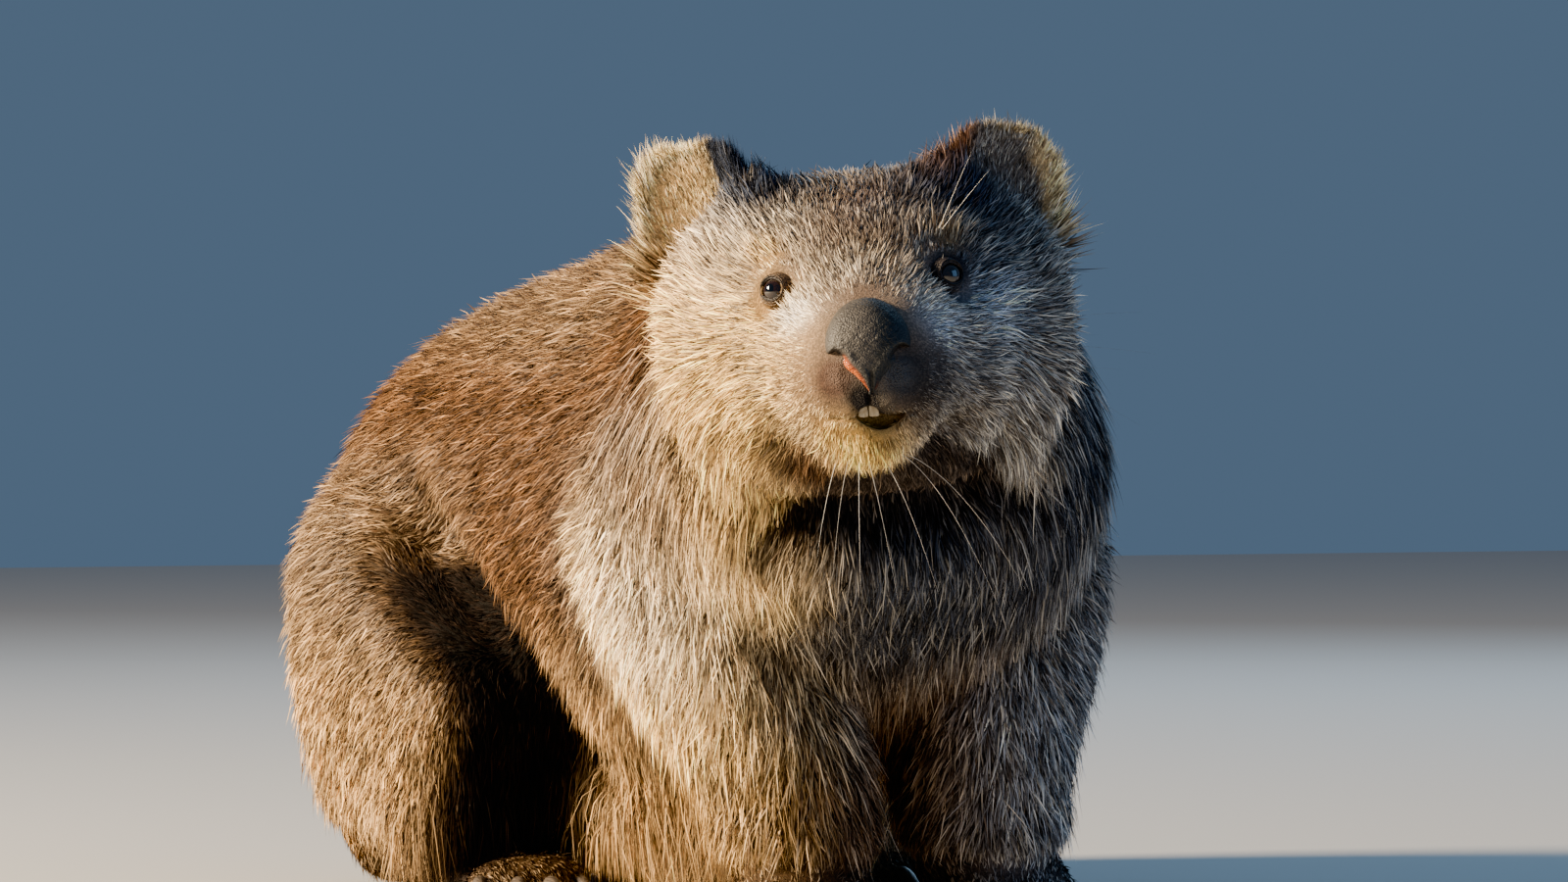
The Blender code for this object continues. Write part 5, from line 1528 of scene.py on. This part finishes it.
skin_points, skin_normals = points_of(skin.data), normals_of(skin.data)
draw = np.random.default_rng(COAT_SEED)
at, heading = along_spine(skin_points)
length, breadth, density = hair_of(skin_points)
sparse = 1.0
lie = lie_of(skin_points, skin_normals, at, heading)
fields = (skin_points, skin_normals, lie, length, breadth, at, colour_of(skin_points, at))
roots, normals, lies, lengths, breadths, at, colours = roots_on(skin.data, density * sparse, fields, draw)
normals = unit(normals)
count = len(roots)
guard = draw.uniform(size=count) < 0.10
lengths = lengths * np.where(guard, draw.uniform(1.15, 1.45, count), draw.uniform(0.65, 1.1, count))
breadths = breadths * draw.uniform(0.75, 1.25, count) * np.where(guard, 0.75, 1.0) * 1.0
sway = 0.16 * waves(roots, 0.050, 11) + 0.13 * waves(roots, 0.012, 13) + draw.normal(0, 0.24, count) * (1 - 0.45 * share_of_head(roots))
lies = unit(lies + np.cross(lies, normals) * sway[:, None])
lies = unit(lies - (lies * normals).sum(1)[:, None] * normals)
lift = 0.58 + 0.10 * waves(roots, 0.02, 12) + draw.normal(0, 0.13, count) + 0.12 * guard
lift = np.clip(lift * (0.50 + 0.50 * soft((lengths - 0.002) / 0.012)), 0.10, 1.1)
h = in_head(roots)
head = share_of_head(roots)
down = soft((-0.30 - normals[:, 2]) / 0.3) * hanging(roots)
chest = soft((at - 0.50) / 0.08) * (1 - head)
tuck = spot(h, -52, 118, 88, 20) + spot(h, 50, 116, 84, 20)
lift = lift * (1 - 0.50 * head) * (1 - 0.35 * chest) + 0.5 * tuck
lift = lift * (1 - down) + 1.2 * down
gather = (gathered(roots, CLUMP, 30) - roots) * (0.75 * soft((lengths - 0.004) / 0.012))[:, None]
strands = soft((at - 0.50) / 0.08)[:, None] * (1 - share_of_head(roots))[:, None]
gather = gather * (1 - strands) + strands * 0.8 * (gathered(roots, 1.8 * CLUMP, 40) - roots)
gather = gather - 0.8 * (gather * normals).sum(1)[:, None] * normals
ruff = head * soft((-0.030 - h[:, 2]) / 0.03) * soft((h[:, 1] - 0.060) / 0.05) * soft((np.abs(h[:, 0]) - 0.045) / 0.03)
droop = np.maximum(ruff, soft((-0.25 - normals[:, 2]) / 0.3) * (h[:, 1] > 0.24))
droop = np.maximum(droop, 0.35 * chest)
patchy = 1 + 0.20 * waves(roots, 0.009, 17) + 0.26 * (1 - 0.5 * head) * waves(roots, 0.026, 18)
colours = np.clip(colours * (patchy * draw.uniform(0.50, 1.50, count))[:, None], 0.003, 1)
kind = draw.uniform(size=count)
dark, pale = kind < 0.16 + 0.08 * head, (kind > 0.86) & (np.linalg.norm(h, axis=1) > 0.034)
light = soft(colours.mean(1) / 0.12)
brighter = colours * [1.75, 1.66, 1.42] + ((0.02 * light + 0.10 * chest)[:, None] * [1.0, 0.95, 0.85])
colours = np.where(dark[:, None], colours * [0.30, 0.26, 0.23], np.where(pale[:, None], np.minimum(brighter, [0.92, 0.80, 0.60]), colours))
breadths = breadths * np.where(dark | pale, 1.45, 1.0)
lengths = lengths * np.where(dark | pale, 1.12, 1.0)
draws = np.where(guard, draw.uniform(0.72, 1.0, count), draw.uniform(0.0, 1.0, count))
hair = {"root": roots, "normal": normals, "lie": lies, "length": lengths, "breadth": breadths, "lift": lift}
hair.update({"gather": gather, "droop": droop, "colour": colours, "flat": unwrapped(roots, at), "draw": draws})
face_hair, body_hair = coat_material("face_hair", 0.42), coat_material("body_hair", 0.45)

on_head = share_of_head(roots) > 0.5
on_ear = np.maximum(share_of_ear(roots, "left"), share_of_ear(roots, "right")) > 0.5
near = np.linalg.norm(h, axis=1)
left = np.where(on_head, h[:, 0] >= 0, roots[:, 0] >= 0)
kinds = {"coat_muzzle": on_head & (near < 0.045)}
zones = {
    "face": on_head & ~on_ear & (near >= 0.045) & (near < 0.10),
    "head": on_head & ~on_ear & (near >= 0.10),
    "ear": on_ear,
}
bands = (("limbs", -1.0, 0.10), ("belly", 0.10, 0.165), ("flank", 0.165, 0.25), ("back", 0.25, 1.0))
for word, low, high in bands:
    for end, fore in (("front", at >= 0.40), ("rear", at < 0.40)):
        zones[f"{word}_{end}"] = ~on_head & ~on_ear & (roots[:, 2] >= low) & (roots[:, 2] < high) & fore
for word, chosen in zones.items():
    kinds[f"coat_{word}_left"], kinds[f"coat_{word}_right"] = chosen & left, chosen & ~left
faces = ("coat_muzzle", "coat_face", "coat_head", "coat_ear")
for name, chosen in kinds.items():
    coat = tufts(name, {word: values[chosen] for word, values in hair.items()}, draw)
    coat.data.materials.append(face_hair if name.startswith(faces) else body_hair)
    print(name, chosen.sum(), "tufts")
print("all", count)


# Whiskers: stiff, tapered bristles, dark on the cheeks and white under the chin and over the left
# eye, each a thin three-sided tube swept along a curve that sags.
# Root, way and length in millimetres in the head's frame, how far it bends down, and 1 for white
WHISKERS = (
    ((26, 15, -10), (0.86, 0.10, 0.12), 92, 0.10, 0),
    ((28, 18, -15), (0.88, 0.06, -0.02), 98, 0.08, 0),
    ((27, 17, -20), (0.86, 0.02, -0.20), 84, 0.16, 0),
    ((62, 64, 2), (0.90, 0.05, 0.06), 78, 0.06, 0),
    ((66, 68, -8), (0.92, 0.02, -0.04), 80, 0.10, 0),
    ((64, 68, -16), (0.88, 0.05, -0.30), 74, 0.20, 0),
    ((30, 20, -22), (0.80, -0.05, -0.36), 66, 0.20, 0),
    ((-28, 16, -12), (-0.84, -0.05, -0.10), 50, 0.25, 0),
    ((-29, 18, -17), (-0.80, -0.10, -0.32), 51, 0.30, 0),
    ((-27, 17, -22), (-0.70, -0.10, -0.52), 50, 0.30, 0),
    ((-46, 44, -10), (-0.86, -0.15, -0.20), 46, 0.30, 0),
    ((-14, 30, -56), (-0.30, -0.34, -0.80), 44, 0.55, 1),
    ((-9, 26, -57), (-0.10, -0.44, -0.80), 50, 0.50, 1),
    ((-5, 25, -57), (0.16, -0.44, -0.76), 54, 0.60, 1),
    ((2, 25, -57), (0.42, -0.36, -0.66), 48, 0.75, 1),
    ((14, 30, -57), (0.86, -0.24, -0.36), 62, 0.80, 1),
    ((12, 28, -57), (0.62, -0.34, -0.40), 58, 0.95, 1),
    ((-20, 36, -57), (-0.36, -0.26, -0.78), 38, 0.45, 1),
    ((42, 66, 55), (0.42, -0.20, 0.84), 44, 0.05, 1),
    ((44, 67, 54), (0.62, -0.24, 0.70), 40, 0.05, 1),
    ((-40, 64, 54), (-0.30, -0.30, 0.86), 26, 0.05, 0),
)
WHISKER_RADIUS, WHISKER_RINGS = 0.00013, 18

start = np.array([row[0] for row in WHISKERS]) / 1000
toward_tip = unit(np.array([row[1] for row in WHISKERS]))
span, sag, white = (np.array([row[k] for row in WHISKERS], float) for k in (2, 3, 4))
along = np.linspace(0, 1, WHISKER_RINGS)
reach = (span[:, None] / 1000) * along
path = start[:, None] + (reach - 0.003)[..., None] * toward_tip[:, None]
path[..., 2] -= sag[:, None] * reach * along
path = from_head(path)
thick = WHISKER_RADIUS * (1 - 0.85 * along) * np.where(white[:, None] > 0, 1.1, 1.0)
turns = np.arange(3) * 2 * math.pi / 3
aside = unit(np.cross(toward_tip @ head_turned.T, [0.3, 0.2, 1.0]))
over = np.cross(toward_tip @ head_turned.T, aside)
tubes = []
for k in range(len(WHISKERS)):
    ring = np.cos(turns)[:, None] * aside[k] + np.sin(turns)[:, None] * over[k]
    rings = path[k][:, None] + thick[k][:, None, None] * ring
    tubes.append(shell(rings, path[k][0], path[k][-1]))
whiskers = piece_of("whiskers", *joined(tubes))
add_point_value(whiskers.data, "white", np.repeat(white, [len(tube[0]) for tube in tubes]))
whisker_paint, tree, shader = paint("whisker_keratin", 0.35, 0.5)
stained = mixed(tree, noise(tree, 500), (0.020, 0.014, 0.011, 1), (0.050, 0.034, 0.026, 1))
bleached = mixed(tree, noise(tree, 500), (0.80, 0.77, 0.70, 1), (0.95, 0.93, 0.88, 1))
tree.links.new(mixed(tree, value_of(tree, "white"), stained, bleached), shader.inputs["Base Color"])
whiskers.data.materials.append(whisker_paint)
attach(whiskers, "root")
